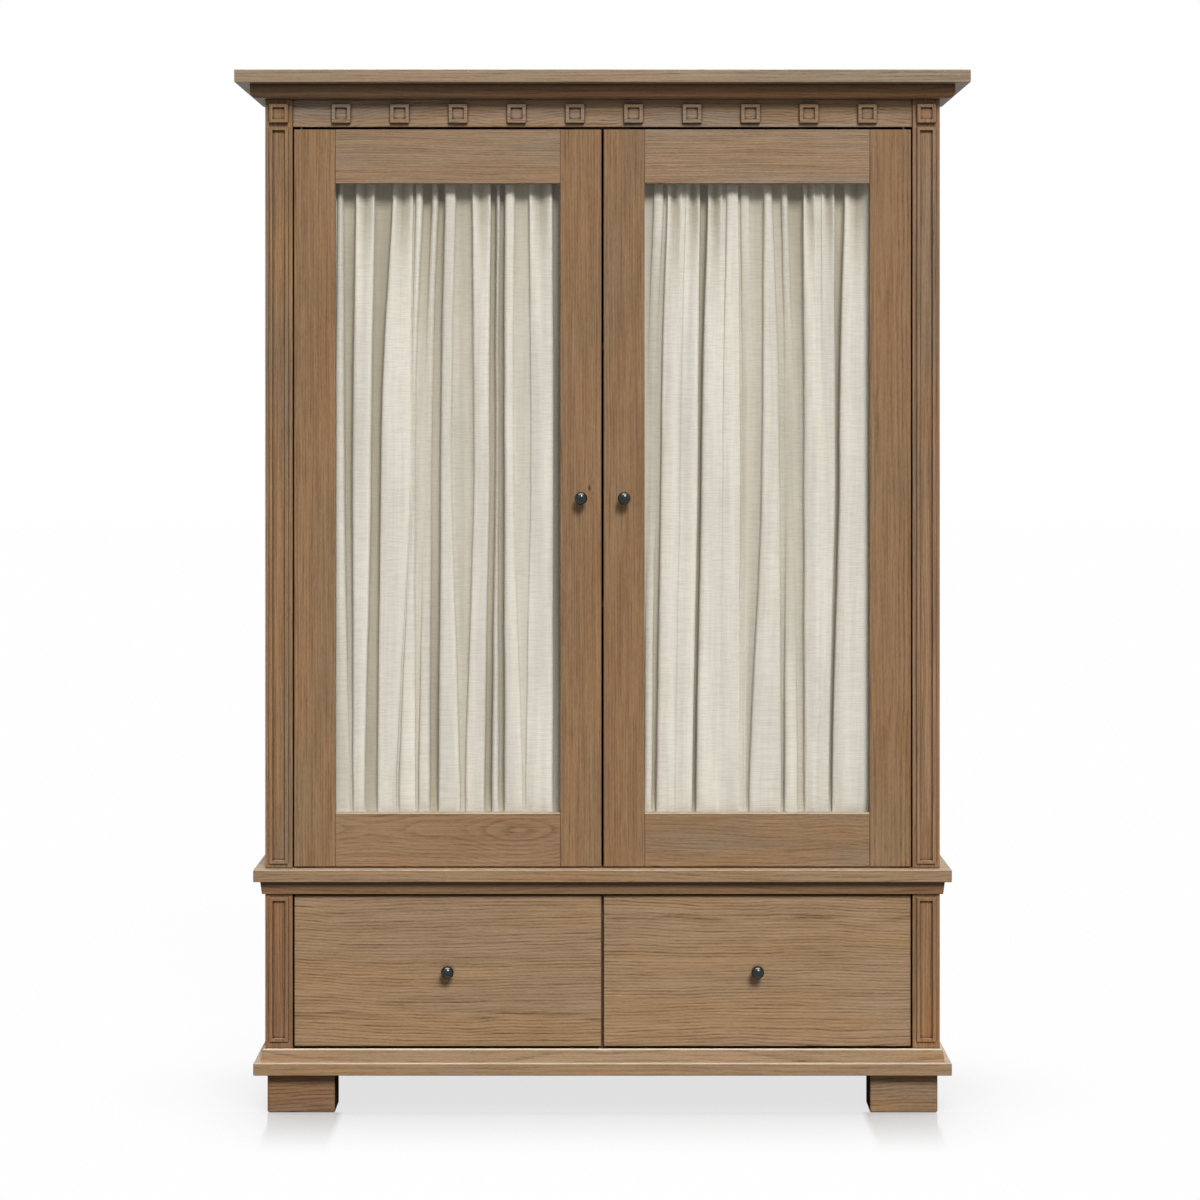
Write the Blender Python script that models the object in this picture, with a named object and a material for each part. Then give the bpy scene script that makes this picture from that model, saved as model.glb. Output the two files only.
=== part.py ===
# Tall oak cabinet with two curtained glass doors above two drawers.
# Metres, +Z up, the front faces -Y, the origin is on the floor under the middle of the top board.
import math

import bmesh
import bpy
from mathutils import Vector

# Clearances
joint_gap = 0.0003
door_gap = 0.003
door_top_gap = 0.005
door_meeting_gap = 0.004
drawer_gap = 0.003
pin_clearance = 0.0004
cut_overrun = 0.004
union_overlap = 0.002

# Overall sizes of the carcass, without what overhangs it
body_width = 1.361
body_depth = 0.464

# Heights of the layers, from the floor up
foot_height = 0.080
plinth_board_height = 0.025
plinth_moulding_height = 0.026
drawer_opening_height = 0.312
waist_moulding_height = 0.026
waist_board_height = 0.025
door_opening_height = 1.496
frieze_height = 0.056
cornice_height = 0.028
top_board_height = 0.026

# How far the layers stand out from the posts and sides
top_board_overhang = 0.056
cornice_projection = 0.028
cornice_soffit = 0.016
cornice_round_height = 0.015
cornice_round_steps = 6
waist_board_overhang = 0.022
waist_moulding_top_projection = 0.0092
waist_moulding_low_projection = 0.0062
plinth_board_overhang = 0.022
plinth_moulding_top_projection = 0.0052
plinth_moulding_low_projection = 0.0092
plinth_moulding_arris = 0.0025

# Carcass boards
post_width = 0.055
post_depth = 0.050
side_thickness = 0.020
back_thickness = 0.008
back_rebate_width = 0.010
frieze_thickness = 0.036
front_recess = 0.004
drawer_rail_depth = 0.040
divider_thickness = 0.020
edge_ease = 0.0008
board_ease = 0.0012

# Feet
foot_width = 0.137
foot_depth = 0.087
foot_inset = 0.004
foot_ease = 0.004
foot_ease_steps = 2

# Raised frames on the posts and square rosettes
post_frame_margin = 0.0078
post_frame_border = 0.0065
post_frame_rise = 0.004
post_frame_recess = 0.006
upper_frame_low_margin = 0.009
lower_frame_low_margin = 0.013
lower_frame_top_margin = 0.007
raised_edge_taper = 0.001
rosette_size = 0.039
rosette_rise = 0.008
rosette_border = 0.007
rosette_recess = 0.005
rosette_count = 10
rosette_pitch_share = 0.0943
rosette_row_shift = 0.0035
rosette_height_share = 0.482

# Doors
door_thickness = 0.024
stile_width = 0.083
top_rail_height = 0.109
bottom_rail_height = 0.108
tenon_length = 0.036
tenon_thickness = 0.008
tenon_height_share = 0.6
glass_rebate = 0.010
glass_lip = 0.008
glass_thickness = 0.004
bead_arris = 0.003
door_stop_width = 0.120
door_stop_drop = 0.012

# Pivot hinges
pin_radius = 0.003
pin_engagement = 0.010
pin_inset = 0.014
pin_setback = 0.008
hinge_plate_length = 0.042
hinge_plate_width = 0.012
hinge_plate_thickness = 0.0025
round_sides = 12

# Curtain rods and their brackets
rod_radius = 0.003
rod_from_opening = 0.012
rod_bracket_width = 0.012
rod_bracket_height = 0.016
rod_bracket_wall = 0.003
rod_seat_depth = 0.006
rod_clearance = 0.0005

# Curtains
curtain_overlap = 0.008
curtain_clearance = 0.0015
curtain_heading = 0.014
curtain_neck = 0.080
curtain_cloth = 0.003
curtain_pocket = 0.011
curtain_fold_depth = 0.009
curtain_gather_depth = 0.0011
curtain_drift_share = 0.02
curtain_fold_steps = 2
curtain_fall_steps = 4
curtain_bracket_gap = 0.003

# Each fold point: its share of the width, and its share of the fold depth towards the glass
left_fold_shares = (
    (0.00, -0.2), (0.02, 0.5), (0.06, -0.8), (0.13, 0.9), (0.20, -0.9), (0.23, -0.3), (0.26, -0.8),
    (0.33, 1.0), (0.41, -0.7), (0.44, -0.2), (0.47, -0.9), (0.51, 0.5), (0.57, -1.0), (0.64, 0.9),
    (0.72, -1.0), (0.78, 0.4), (0.82, -0.6), (0.91, 1.0), (1.00, -0.5))
right_fold_shares = (
    (0.00, -0.6), (0.05, 0.6), (0.09, -0.7), (0.16, 1.0), (0.26, -1.0), (0.35, 0.9), (0.42, -0.2),
    (0.46, 0.3), (0.51, -0.8), (0.55, 0.5), (0.59, -0.6), (0.63, 0.2), (0.67, -0.9), (0.77, 1.0),
    (0.86, -1.0), (0.94, 0.8), (1.00, -0.4))

# Drawers
drawer_front_thickness = 0.022
drawer_side_thickness = 0.014
drawer_back_thickness = 0.014
drawer_bottom_thickness = 0.006
drawer_box_low_margin = 0.012
drawer_box_top_margin = 0.035
drawer_back_top_margin = 0.012
drawer_rear_space = 0.030
drawer_bottom_raise = 0.012
bottom_groove_depth = 0.006
runner_height = 0.016
runner_reach = 0.006
runner_slack = 0.0007
runner_height_share = 0.55
runner_groove_stop = 0.025
tail_count = 4
tail_length = 0.014
tail_root_share = 0.26
tail_end_share = 0.34

# Shelves and their pegs
shelf_count = 2
shelf_thickness = 0.018
shelf_setback = 0.084
shelf_end_gap = 0.001
peg_radius = 0.0035
peg_reach = 0.009
peg_depth = 0.006
peg_place_shares = (0.15, 0.85)

# Knobs
knob_head_radius = 0.013
knob_head_length_share = 0.86
knob_head_seat_share = 0.8
knob_stem_radius = 0.0045
knob_foot_radius = 0.0075
knob_foot_height = 0.0025
knob_stem_length = 0.009
knob_sides = 20
knob_head_steps = 9
door_knob_height_share = 0.5

# Finishes: colour, roughness, metallic, and how much light goes through
finishes = {
    "oak": ((0.285, 0.172, 0.096), 0.55, 0.0, 0.0),
    "pale_oak": ((0.343, 0.249, 0.168), 0.55, 0.0, 0.0),
    "inner_oak": ((0.330, 0.225, 0.140), 0.60, 0.0, 0.0),
    "glass": ((0.90, 0.94, 0.93), 0.03, 0.0, 0.95),
    "linen": ((0.640, 0.600, 0.510), 0.90, 0.0, 0.0),
    "dark_metal": ((0.035, 0.037, 0.040), 0.30, 0.9, 0.0),
    "steel": ((0.55, 0.54, 0.52), 0.32, 1.0, 0.0),
}

# Levels, worked out from the layers
plinth_board_top = foot_height + plinth_board_height
drawer_opening_low = plinth_board_top + plinth_moulding_height
drawer_opening_top = drawer_opening_low + drawer_opening_height
waist_board_low = drawer_opening_top + waist_moulding_height
waist_board_top = waist_board_low + waist_board_height
door_opening_top = waist_board_top + door_opening_height
cornice_low = door_opening_top + frieze_height
top_board_low = cornice_low + cornice_height
cabinet_height = top_board_low + top_board_height

# Places across and from front to back
body_half = body_width / 2
opening_half = body_half - post_width
inner_half = body_half - side_thickness
back_y = (body_depth + top_board_overhang) / 2
front_y = back_y - body_depth
post_back_y = front_y + post_depth
back_panel_y = back_y - back_thickness
face_y = front_y + front_recess
door_back_y = face_y + door_thickness
frieze_back_y = face_y + frieze_thickness
shelf_front_y = front_y + shelf_setback

# The door's own sizes
door_low = waist_board_top + door_gap
door_top = door_opening_top - door_top_gap
door_width = opening_half - door_gap - door_meeting_gap / 2
opening_low = door_low + bottom_rail_height
opening_top = door_top - top_rail_height
bead_front_y = face_y + glass_lip + glass_thickness + 2 * joint_gap
pin_y = face_y + pin_setback
rod_y = door_back_y + curtain_clearance + curtain_fold_depth + curtain_cloth / 2
rod_levels = (opening_low - rod_from_opening, opening_top + rod_from_opening)
bracket_near = stile_width - curtain_overlap - curtain_bracket_gap
bracket_far = bracket_near - rod_bracket_width
bracket_back_y = rod_y + rod_radius + rod_clearance + rod_bracket_wall

# The drawer's own sizes
drawer_low = drawer_opening_low + drawer_gap
drawer_top = drawer_opening_top - drawer_gap
drawer_front_back_y = face_y + drawer_front_thickness
drawer_rear_y = back_panel_y - drawer_rear_space
box_low = drawer_low + drawer_box_low_margin
box_top = drawer_top - drawer_box_top_margin
box_outer_x = opening_half - drawer_gap
box_inner_x = divider_thickness / 2 + drawer_gap
bottom_low = box_low + drawer_bottom_raise
bottom_near_x = box_inner_x + drawer_side_thickness - bottom_groove_depth
bottom_far_x = box_outer_x - drawer_side_thickness + bottom_groove_depth
runner_middle = box_low + (box_top - box_low) * runner_height_share
runner_low = runner_middle - runner_height / 2
runner_top = runner_middle + runner_height / 2
runner_front_y = drawer_front_back_y + runner_groove_stop + joint_gap
groove_depth = runner_reach + runner_slack

side_names = ((-1, "left"), (1, "right"))


def clear_scene():
    for item in list(bpy.data.objects):
        bpy.data.objects.remove(item, do_unlink=True)


def make_material(name, finish):
    colour, roughness, metallic, transmission = finishes[finish]
    material = bpy.data.materials.new(name + "_" + finish)
    material.use_nodes = True
    material.diffuse_color = (*colour, 1.0)
    shader = material.node_tree.nodes["Principled BSDF"]
    shader.inputs["Base Color"].default_value = (*colour, 1.0)
    shader.inputs["Roughness"].default_value = roughness
    shader.inputs["Metallic"].default_value = metallic
    shader.inputs["Transmission Weight"].default_value = transmission
    return material


def make_empty(name, place):
    empty = bpy.data.objects.new(name, None)
    empty.location = place
    bpy.context.collection.objects.link(empty)
    return empty


# Turns a bmesh in world places into an object whose own origin is at its middle
def make_piece(name, form, finish, carrier=None, smooth=False):
    bmesh.ops.recalc_face_normals(form, faces=form.faces)
    corners = [vertex.co for vertex in form.verts]
    low = Vector([min(corner[axis] for corner in corners) for axis in range(3)])
    high = Vector([max(corner[axis] for corner in corners) for axis in range(3)])
    middle = (low + high) / 2
    bmesh.ops.translate(form, verts=form.verts, vec=-middle)
    mesh = bpy.data.meshes.new(name)
    form.to_mesh(mesh)
    form.free()
    piece = bpy.data.objects.new(name, mesh)
    bpy.context.collection.objects.link(piece)
    if smooth:
        mesh.shade_smooth()
        mesh.set_sharp_from_angle(angle=math.radians(40))
    piece.location = middle
    if carrier:
        piece.parent = carrier
        piece.location = middle - carrier.location
    mesh.materials.append(make_material(name, finish))
    return piece


# Adds or takes away a tool's volume, and keeps the tool as a hidden guide
def combine(piece, tool, operation):
    tool.hide_render = True
    tool.display_type = 'WIRE'
    modifier = piece.modifiers.new(tool.name, 'BOOLEAN')
    modifier.operation = operation
    modifier.solver = 'EXACT'
    modifier.object = tool


def add_box(form, x_span, y_span, z_span, ease=0.0, ease_steps=1):
    low = Vector((min(x_span), min(y_span), min(z_span)))
    high = Vector((max(x_span), max(y_span), max(z_span)))
    made = bmesh.ops.create_cube(form, size=1.0)["verts"]
    bmesh.ops.scale(form, verts=made, vec=high - low)
    bmesh.ops.translate(form, verts=made, vec=(low + high) / 2)
    if ease > 0:
        edges = list({edge for vertex in made for edge in vertex.link_edges})
        bmesh.ops.bevel(form, geom=edges, offset=ease, segments=ease_steps, profile=0.5, affect='EDGES')


def make_board(name, x_span, y_span, z_span, finish="oak", ease=edge_ease, carrier=None):
    form = bmesh.new()
    add_box(form, x_span, y_span, z_span, ease)
    return make_piece(name, form, finish, carrier)


# Box tools for a cut or a union, all in one mesh
def make_box_tool(name, boxes, carrier=None):
    form = bmesh.new()
    for x_span, y_span, z_span in boxes:
        add_box(form, x_span, y_span, z_span)
    return make_piece(name, form, "oak", carrier)


# A box along Y whose front and back rectangles may be smaller than its sides
def add_tapered_box(form, x_span, z_span, y_span, front_taper, back_taper):
    rings = []
    for y, taper in ((y_span[0], front_taper), (y_span[1], back_taper)):
        x_low = min(x_span) + taper
        x_high = max(x_span) - taper
        z_low = min(z_span) + taper
        z_high = max(z_span) - taper
        places = ((x_low, z_low), (x_high, z_low), (x_high, z_high), (x_low, z_high))
        rings.append([form.verts.new((x, y, z)) for x, z in places])
    join_rings(form, rings)


# Walls between rings of vertices, with a flat face over each end
def join_rings(form, rings):
    for near, far in zip(rings, rings[1:]):
        for index in range(len(near)):
            following = (index + 1) % len(near)
            form.faces.new((near[index], near[following], far[following], far[index]))
    form.faces.new(rings[0])
    form.faces.new(rings[-1])


# An outline pushed along an axis: outline points are the other two axes in X, Y, Z order
def add_prism(form, outline, axis, span, ease=0.0):
    rings = []
    for distance in span:
        ring = []
        for first, second in outline:
            place = {"X": (distance, first, second), "Y": (first, distance, second)}
            place["Z"] = (first, second, distance)
            ring.append(form.verts.new(place[axis]))
        rings.append(ring)
    join_rings(form, rings)
    if ease > 0:
        bmesh.ops.recalc_face_normals(form, faces=form.faces)
        convex = [edge for edge in form.edges if edge.is_convex]
        bmesh.ops.bevel(form, geom=convex, offset=ease, segments=1, profile=0.5, affect='EDGES')


def make_prism(name, outline, axis, span, finish="oak", ease=edge_ease, carrier=None):
    form = bmesh.new()
    add_prism(form, outline, axis, span, ease)
    return make_piece(name, form, finish, carrier)


# A turned shape: its outline is a list of radius and distance along the axis from the base
def add_turned(form, outline, base, axis, sides, phase=0.0):
    along = Vector(axis)
    across = Vector((0, 0, 1)) if abs(along.z) < abs(along.x) + abs(along.y) else Vector((1, 0, 0))
    third = along.cross(across)
    rings = []
    for radius, distance in outline:
        centre = Vector(base) + along * distance
        if radius == 0:
            rings.append([form.verts.new(centre)])
            continue
        ring = []
        for index in range(sides):
            angle = 2 * math.pi * index / sides + phase
            offset = across * math.cos(angle) + third * math.sin(angle)
            ring.append(form.verts.new(centre + offset * radius))
        rings.append(ring)
    for near, far in zip(rings, rings[1:]):
        for index in range(sides):
            following = (index + 1) % sides
            corners = [near[index % len(near)], near[following % len(near)]]
            corners += [far[following % len(far)], far[index % len(far)]]
            form.faces.new(list(dict.fromkeys(corners)))
    for ring in (rings[0], rings[-1]):
        if len(ring) > 1:
            form.faces.new(ring)


def make_round_tool(name, outlines, axis, carrier=None, phase=0.0):
    form = bmesh.new()
    for base, outline in outlines:
        add_turned(form, outline, base, axis, round_sides, phase)
    return make_piece(name, form, "oak", carrier)


def make_foot(name, side, y_span):
    outer_x = side * (body_half - foot_inset)
    inner_x = side * (body_half - foot_inset - foot_width)
    form = bmesh.new()
    add_box(form, (inner_x, outer_x), y_span, (0.0, foot_height), foot_ease, foot_ease_steps)
    return make_piece(name, form, "oak")


def make_feet():
    front_span = (front_y + foot_inset, front_y + foot_inset + foot_depth)
    rear_span = (back_y - foot_inset - foot_depth, back_y - foot_inset)
    for side, side_name in side_names:
        make_foot("front_" + side_name + "_foot", side, front_span)
        make_foot("rear_" + side_name + "_foot", side, rear_span)


def make_plinth_board():
    half = body_half + plinth_board_overhang
    y_span = (front_y - plinth_board_overhang, back_y)
    make_board("plinth_board", (-half, half), y_span, (foot_height + joint_gap, plinth_board_top),
               ease=board_ease)


# A moulding planted round the front and both sides, mitred at the two front corners
def make_wrapped_moulding(name, outline, low_z):
    form = bmesh.new()
    rings = []
    for side, y, mitre in ((-1, back_y, 0), (-1, front_y, 1), (1, front_y, 1), (1, back_y, 0)):
        ring = []
        for out, height in outline:
            ring.append(form.verts.new((side * (body_half + out), y - mitre * out, low_z + height)))
        rings.append(ring)
    join_rings(form, rings)
    return make_piece(name, form, "oak")


def make_plinth_moulding():
    height = plinth_moulding_height - joint_gap
    outline = [
        (joint_gap, 0.0),
        (plinth_moulding_low_projection, 0.0),
        (plinth_moulding_top_projection, height - plinth_moulding_arris),
        (plinth_moulding_top_projection - plinth_moulding_arris, height),
        (joint_gap, height)]
    make_wrapped_moulding("plinth_moulding", outline, plinth_board_top + joint_gap)


def make_waist_moulding():
    outline = [
        (joint_gap, 0.0),
        (waist_moulding_low_projection - edge_ease, 0.0),
        (waist_moulding_low_projection, edge_ease),
        (waist_moulding_top_projection, waist_moulding_height),
        (joint_gap, waist_moulding_height)]
    make_wrapped_moulding("waist_moulding", outline, drawer_opening_top)


def make_cornice_moulding():
    outline = [(joint_gap, 0.0)]
    for index in range(cornice_round_steps + 1):
        angle = math.pi / 2 * index / cornice_round_steps
        out = cornice_soffit + (cornice_projection - cornice_soffit) * math.sin(angle)
        outline.append((out, cornice_round_height * (1 - math.cos(angle))))
    outline.append((cornice_projection, cornice_height))
    outline.append((joint_gap, cornice_height))
    make_wrapped_moulding("cornice_moulding", outline, cornice_low)


def make_top_board():
    half = body_half + top_board_overhang
    y_span = (front_y - top_board_overhang, back_y)
    make_board("top_board", (-half, half), y_span, (top_board_low + joint_gap, cabinet_height),
               "pale_oak", board_ease)


# The board between the drawers and the doors, notched at the back for the back panel
def make_waist_board():
    half = body_half + waist_board_overhang
    notch_half = inner_half + back_rebate_width
    notch_y = back_panel_y - joint_gap
    outline = [
        (-half, front_y - waist_board_overhang), (half, front_y - waist_board_overhang),
        (half, back_y), (notch_half, back_y), (notch_half, notch_y),
        (-notch_half, notch_y), (-notch_half, back_y), (-half, back_y)]
    span = (waist_board_low + joint_gap, waist_board_top)
    board = make_prism("waist_board", outline, "Z", span, ease=board_ease)
    boxes = []
    for side, side_name in side_names:
        boxes.append(hinge_plate_box(side, waist_board_top, -1, joint_gap))
    combine(board, make_box_tool("waist_board_hinge_seats", boxes), 'DIFFERENCE')


# The space of a hinge plate let into a face at a level, with a clearance all round
def hinge_plate_box(side, level, direction, clearance):
    middle_x = side * (opening_half - door_gap - pin_inset)
    inner_x = middle_x - side * (hinge_plate_length - pin_inset + clearance)
    outer_x = middle_x + side * (pin_inset - door_gap + clearance)
    half_width = hinge_plate_width / 2 + clearance
    deep = level + direction * (hinge_plate_thickness + clearance)
    shallow = level
    if clearance > 0:
        shallow = level - direction * cut_overrun
    return (inner_x, outer_x), (pin_y - half_width, pin_y + half_width), (deep, shallow)


# Plate and pin of one pivot hinge: the pin reaches into the end of the door's outer stile
def make_hinge_pin(name, side, level, direction, gap):
    plate = make_board(name, *hinge_plate_box(side, level, -direction, 0.0), finish="steel", ease=0.0)
    pin_x = side * (opening_half - door_gap - pin_inset)
    base = (pin_x, pin_y, level - direction * hinge_plate_thickness / 2)
    length = hinge_plate_thickness / 2 + gap + pin_engagement
    tool = make_round_tool(name + "_shank", [(base, [(pin_radius, 0.0), (pin_radius, length)])],
                           (0, 0, direction))
    combine(plate, tool, 'UNION')


# Raised frames on a face that looks forwards: each has a border round a sunk field
def raise_frames(piece, places, face, rise, border, recess):
    pads = bmesh.new()
    fields = bmesh.new()
    for x_span, z_span in places:
        add_tapered_box(pads, x_span, z_span, (face - rise, face + union_overlap), raised_edge_taper, 0.0)
        field_x = (min(x_span) + border, max(x_span) - border)
        field_z = (min(z_span) + border, max(z_span) - border)
        depth_span = (face - rise - cut_overrun, face - rise + recess)
        add_tapered_box(fields, field_x, field_z, depth_span, 0.0, raised_edge_taper)
    combine(piece, make_piece(piece.name + "_pads", pads, "oak"), 'UNION')
    combine(piece, make_piece(piece.name + "_fields", fields, "oak"), 'DIFFERENCE')


def square_place(middle_x, middle_z):
    half = rosette_size / 2
    return (middle_x - half, middle_x + half), (middle_z - half, middle_z + half)


def rosette_level():
    return door_opening_top + frieze_height * rosette_height_share


def make_upper_post(side, side_name):
    x_span = (side * opening_half, side * body_half)
    post = make_board("upper_" + side_name + "_post", x_span, (front_y, post_back_y),
                      (waist_board_top + joint_gap, top_board_low))
    frame_x = (min(x_span) + post_frame_margin, max(x_span) - post_frame_margin)
    frame_z = (waist_board_top + upper_frame_low_margin, door_opening_top)
    raise_frames(post, [(frame_x, frame_z)], front_y, post_frame_rise, post_frame_border,
                 post_frame_recess)
    middle_x = side * (opening_half + body_half) / 2
    raise_frames(post, [square_place(middle_x, rosette_level())], front_y, rosette_rise, rosette_border,
                 rosette_recess)


def make_lower_post(side, side_name):
    x_span = (side * opening_half, side * body_half)
    post = make_board("lower_" + side_name + "_post", x_span, (front_y, post_back_y),
                      (plinth_board_top + joint_gap, waist_board_low))
    frame_x = (min(x_span) + post_frame_margin, max(x_span) - post_frame_margin)
    frame_z = (drawer_opening_low + lower_frame_low_margin, drawer_opening_top - lower_frame_top_margin)
    raise_frames(post, [(frame_x, frame_z)], front_y, post_frame_rise, post_frame_border,
                 post_frame_recess)


# The board over the doors, with its rosettes, the hinge seats and the stop that the doors close on
def make_frieze():
    half = opening_half - joint_gap
    frieze = make_board("frieze_board", (-half, half), (face_y, frieze_back_y),
                        (door_opening_top, top_board_low))
    stop_y = (door_back_y + joint_gap, frieze_back_y - edge_ease * 2)
    stop_z = (door_opening_top - door_stop_drop, door_opening_top + cut_overrun)
    stop_x = (-door_stop_width / 2, door_stop_width / 2)
    stop = make_box_tool("frieze_door_stop", [(stop_x, stop_y, stop_z)])
    combine(frieze, stop, 'UNION')
    seats = [hinge_plate_box(side, door_opening_top, 1, joint_gap) for side, side_name in side_names]
    combine(frieze, make_box_tool("frieze_hinge_seats", seats), 'DIFFERENCE')
    pitch = 2 * opening_half * rosette_pitch_share
    places = []
    for index in range(rosette_count):
        middle_x = (index - (rosette_count - 1) / 2) * pitch + rosette_row_shift
        places.append(square_place(middle_x, rosette_level()))
    raise_frames(frieze, places, face_y, rosette_rise, rosette_border, rosette_recess)


# A side board, rebated at the back for the back panel
def make_side(name, side, z_span):
    outer_x = side * body_half
    rebate_x = side * (inner_half + back_rebate_width)
    inner_x = side * inner_half
    near_y = post_back_y + joint_gap
    rebate_y = back_panel_y - joint_gap
    outline = [(outer_x, near_y), (outer_x, back_y), (rebate_x, back_y),
               (rebate_x, rebate_y), (inner_x, rebate_y), (inner_x, near_y)]
    return make_prism(name, outline, "Z", z_span)


def shelf_level(index):
    clear_height = top_board_low - waist_board_top
    return waist_board_top + clear_height * (index + 1) / (shelf_count + 1) - shelf_thickness / 2


# The upper side carries the shelves on pegs
def make_upper_side(side, side_name):
    name = "upper_" + side_name + "_side"
    board = make_side(name, side, (waist_board_top + joint_gap, top_board_low))
    shelf_back_y = back_panel_y - joint_gap
    flat_radius = peg_radius * math.cos(math.pi / round_sides)
    pegs = []
    for index in range(shelf_count):
        level = shelf_level(index) - joint_gap - flat_radius
        for share in peg_place_shares:
            y = shelf_front_y + (shelf_back_y - shelf_front_y) * share
            base = (side * (inner_half + peg_depth), y, level)
            pegs.append((base, [(peg_radius, 0.0), (peg_radius, peg_depth + peg_reach)]))
    tool = make_round_tool(name + "_pegs", pegs, (-side, 0, 0), phase=math.pi / round_sides)
    combine(board, tool, 'UNION')


# The lower side carries a runner that reaches past the post into the drawer's groove
def make_lower_side(side, side_name):
    name = "lower_" + side_name + "_side"
    board = make_side(name, side, (plinth_board_top + joint_gap, waist_board_low))
    runner_x = (side * (box_outer_x - runner_reach), side * (inner_half + union_overlap))
    runner_y = (max(runner_front_y, post_back_y + joint_gap + edge_ease * 2), drawer_rear_y)
    tool = make_box_tool(name + "_runner", [(runner_x, runner_y, (runner_low, runner_top))])
    combine(board, tool, 'UNION')


def make_back_panel():
    half = inner_half + back_rebate_width - joint_gap
    make_board("back_panel", (-half, half), (back_panel_y, back_y),
               (plinth_board_top + joint_gap, top_board_low), "inner_oak", edge_ease)


def make_drawer_rail():
    half = opening_half - joint_gap
    make_board("drawer_rail", (-half, half), (front_y, front_y + drawer_rail_depth),
               (drawer_opening_top, waist_board_low))


# The upright board between the drawers: they close against its front edge and run on its ribs
def make_divider():
    near_y = drawer_front_back_y + joint_gap
    far_y = back_panel_y - joint_gap
    notch_y = front_y + drawer_rail_depth + joint_gap
    notch_z = drawer_opening_top - joint_gap
    low_z = plinth_board_top + joint_gap
    outline = [(near_y, low_z), (far_y, low_z), (far_y, waist_board_low), (notch_y, waist_board_low),
               (notch_y, notch_z), (near_y, notch_z)]
    half = divider_thickness / 2
    divider = make_prism("drawer_divider", outline, "X", (-half, half), "inner_oak")
    reach = box_inner_x + runner_reach
    rib = ((-reach, reach), (runner_front_y, drawer_rear_y), (runner_low, runner_top))
    combine(divider, make_box_tool("drawer_divider_ribs", [rib]), 'UNION')


def make_shelves():
    half = inner_half - shelf_end_gap
    for index in range(shelf_count):
        level = shelf_level(index)
        make_board("shelf_" + str(index + 1), (-half, half), (shelf_front_y, back_panel_y - joint_gap),
                   (level, level + shelf_thickness), "inner_oak", board_ease)


# X at a distance from the door's outer edge, measured towards the middle of the cabinet
def door_x(side, distance):
    return side * (opening_half - door_gap - distance)


def tenon_span(rail_low, rail_height, outer_edge):
    height = (rail_height - glass_rebate) * tenon_height_share
    middle = rail_low + rail_height / 2 + outer_edge * glass_rebate / 2
    return middle - height / 2, middle + height / 2


# One door stile: grooved for the glass, mortised for the rails, with the rod brackets on its back
def make_stile(name, side, near, far, carrier, bored):
    door_spans = (face_y, door_back_y)
    stile = make_board(name, (door_x(side, near), door_x(side, far)), door_spans, (door_low, door_top),
                       carrier=carrier)
    glass_edge = far if near == 0 else near
    inward = 1 if near == 0 else -1
    rebate_x = (door_x(side, glass_edge - inward * glass_rebate),
                door_x(side, glass_edge + inward * cut_overrun))
    rebate_y = (face_y + glass_lip, door_back_y + cut_overrun)
    rebate_z = (opening_low - glass_rebate, opening_top + glass_rebate)
    mortise_x = (door_x(side, glass_edge - inward * (tenon_length + joint_gap)),
                 door_x(side, glass_edge + inward * cut_overrun))
    middle_y = (face_y + door_back_y) / 2
    mortise_y = (middle_y - tenon_thickness / 2 - joint_gap, middle_y + tenon_thickness / 2 + joint_gap)
    cuts = [(rebate_x, rebate_y, rebate_z)]
    for span in (tenon_span(door_low, bottom_rail_height, -1), tenon_span(opening_top, top_rail_height, 1)):
        cuts.append((mortise_x, mortise_y, (span[0] - joint_gap, span[1] + joint_gap)))
    combine(stile, make_box_tool(name + "_cuts", cuts, carrier), 'DIFFERENCE')
    if bored:
        bore_stile(stile, side, carrier)
    add_rod_brackets(stile, side, inward, carrier)


# Sockets in both ends of the outer stile, whose floors bear on the ends of the hinge pins
def bore_stile(stile, side, carrier):
    radius = pin_radius + pin_clearance
    depth = pin_engagement + joint_gap
    bores = []
    for level in (door_low - cut_overrun, door_top - depth):
        base = (door_x(side, pin_inset), pin_y, level)
        bores.append((base, [(radius, 0.0), (radius, depth + cut_overrun)]))
    combine(stile, make_round_tool(stile.name + "_sockets", bores, (0, 0, 1), carrier), 'DIFFERENCE')


# Two small blocks on the back of a stile, each with a blind hole for the end of a rod
def add_rod_brackets(stile, side, inward, carrier):
    places = [bracket_far, bracket_near]
    if inward < 0:
        places = [door_width - bracket_near, door_width - bracket_far]
    mouth = bracket_near if inward > 0 else door_width - bracket_near
    blocks = []
    holes = []
    for level in rod_levels:
        z_span = (level - rod_bracket_height / 2, level + rod_bracket_height / 2)
        blocks.append(((door_x(side, places[0]), door_x(side, places[1])),
                       (door_back_y - union_overlap, bracket_back_y), z_span))
        base = (door_x(side, mouth + inward * cut_overrun), rod_y, level)
        depth = cut_overrun + rod_seat_depth + joint_gap
        radius = rod_radius + rod_clearance
        holes.append((base, [(radius, 0.0), (radius, depth)]))
    combine(stile, make_box_tool(stile.name + "_brackets", blocks, carrier), 'UNION')
    axis = (side * inward, 0, 0)
    combine(stile, make_round_tool(stile.name + "_rod_holes", holes, axis, carrier), 'DIFFERENCE')


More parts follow.
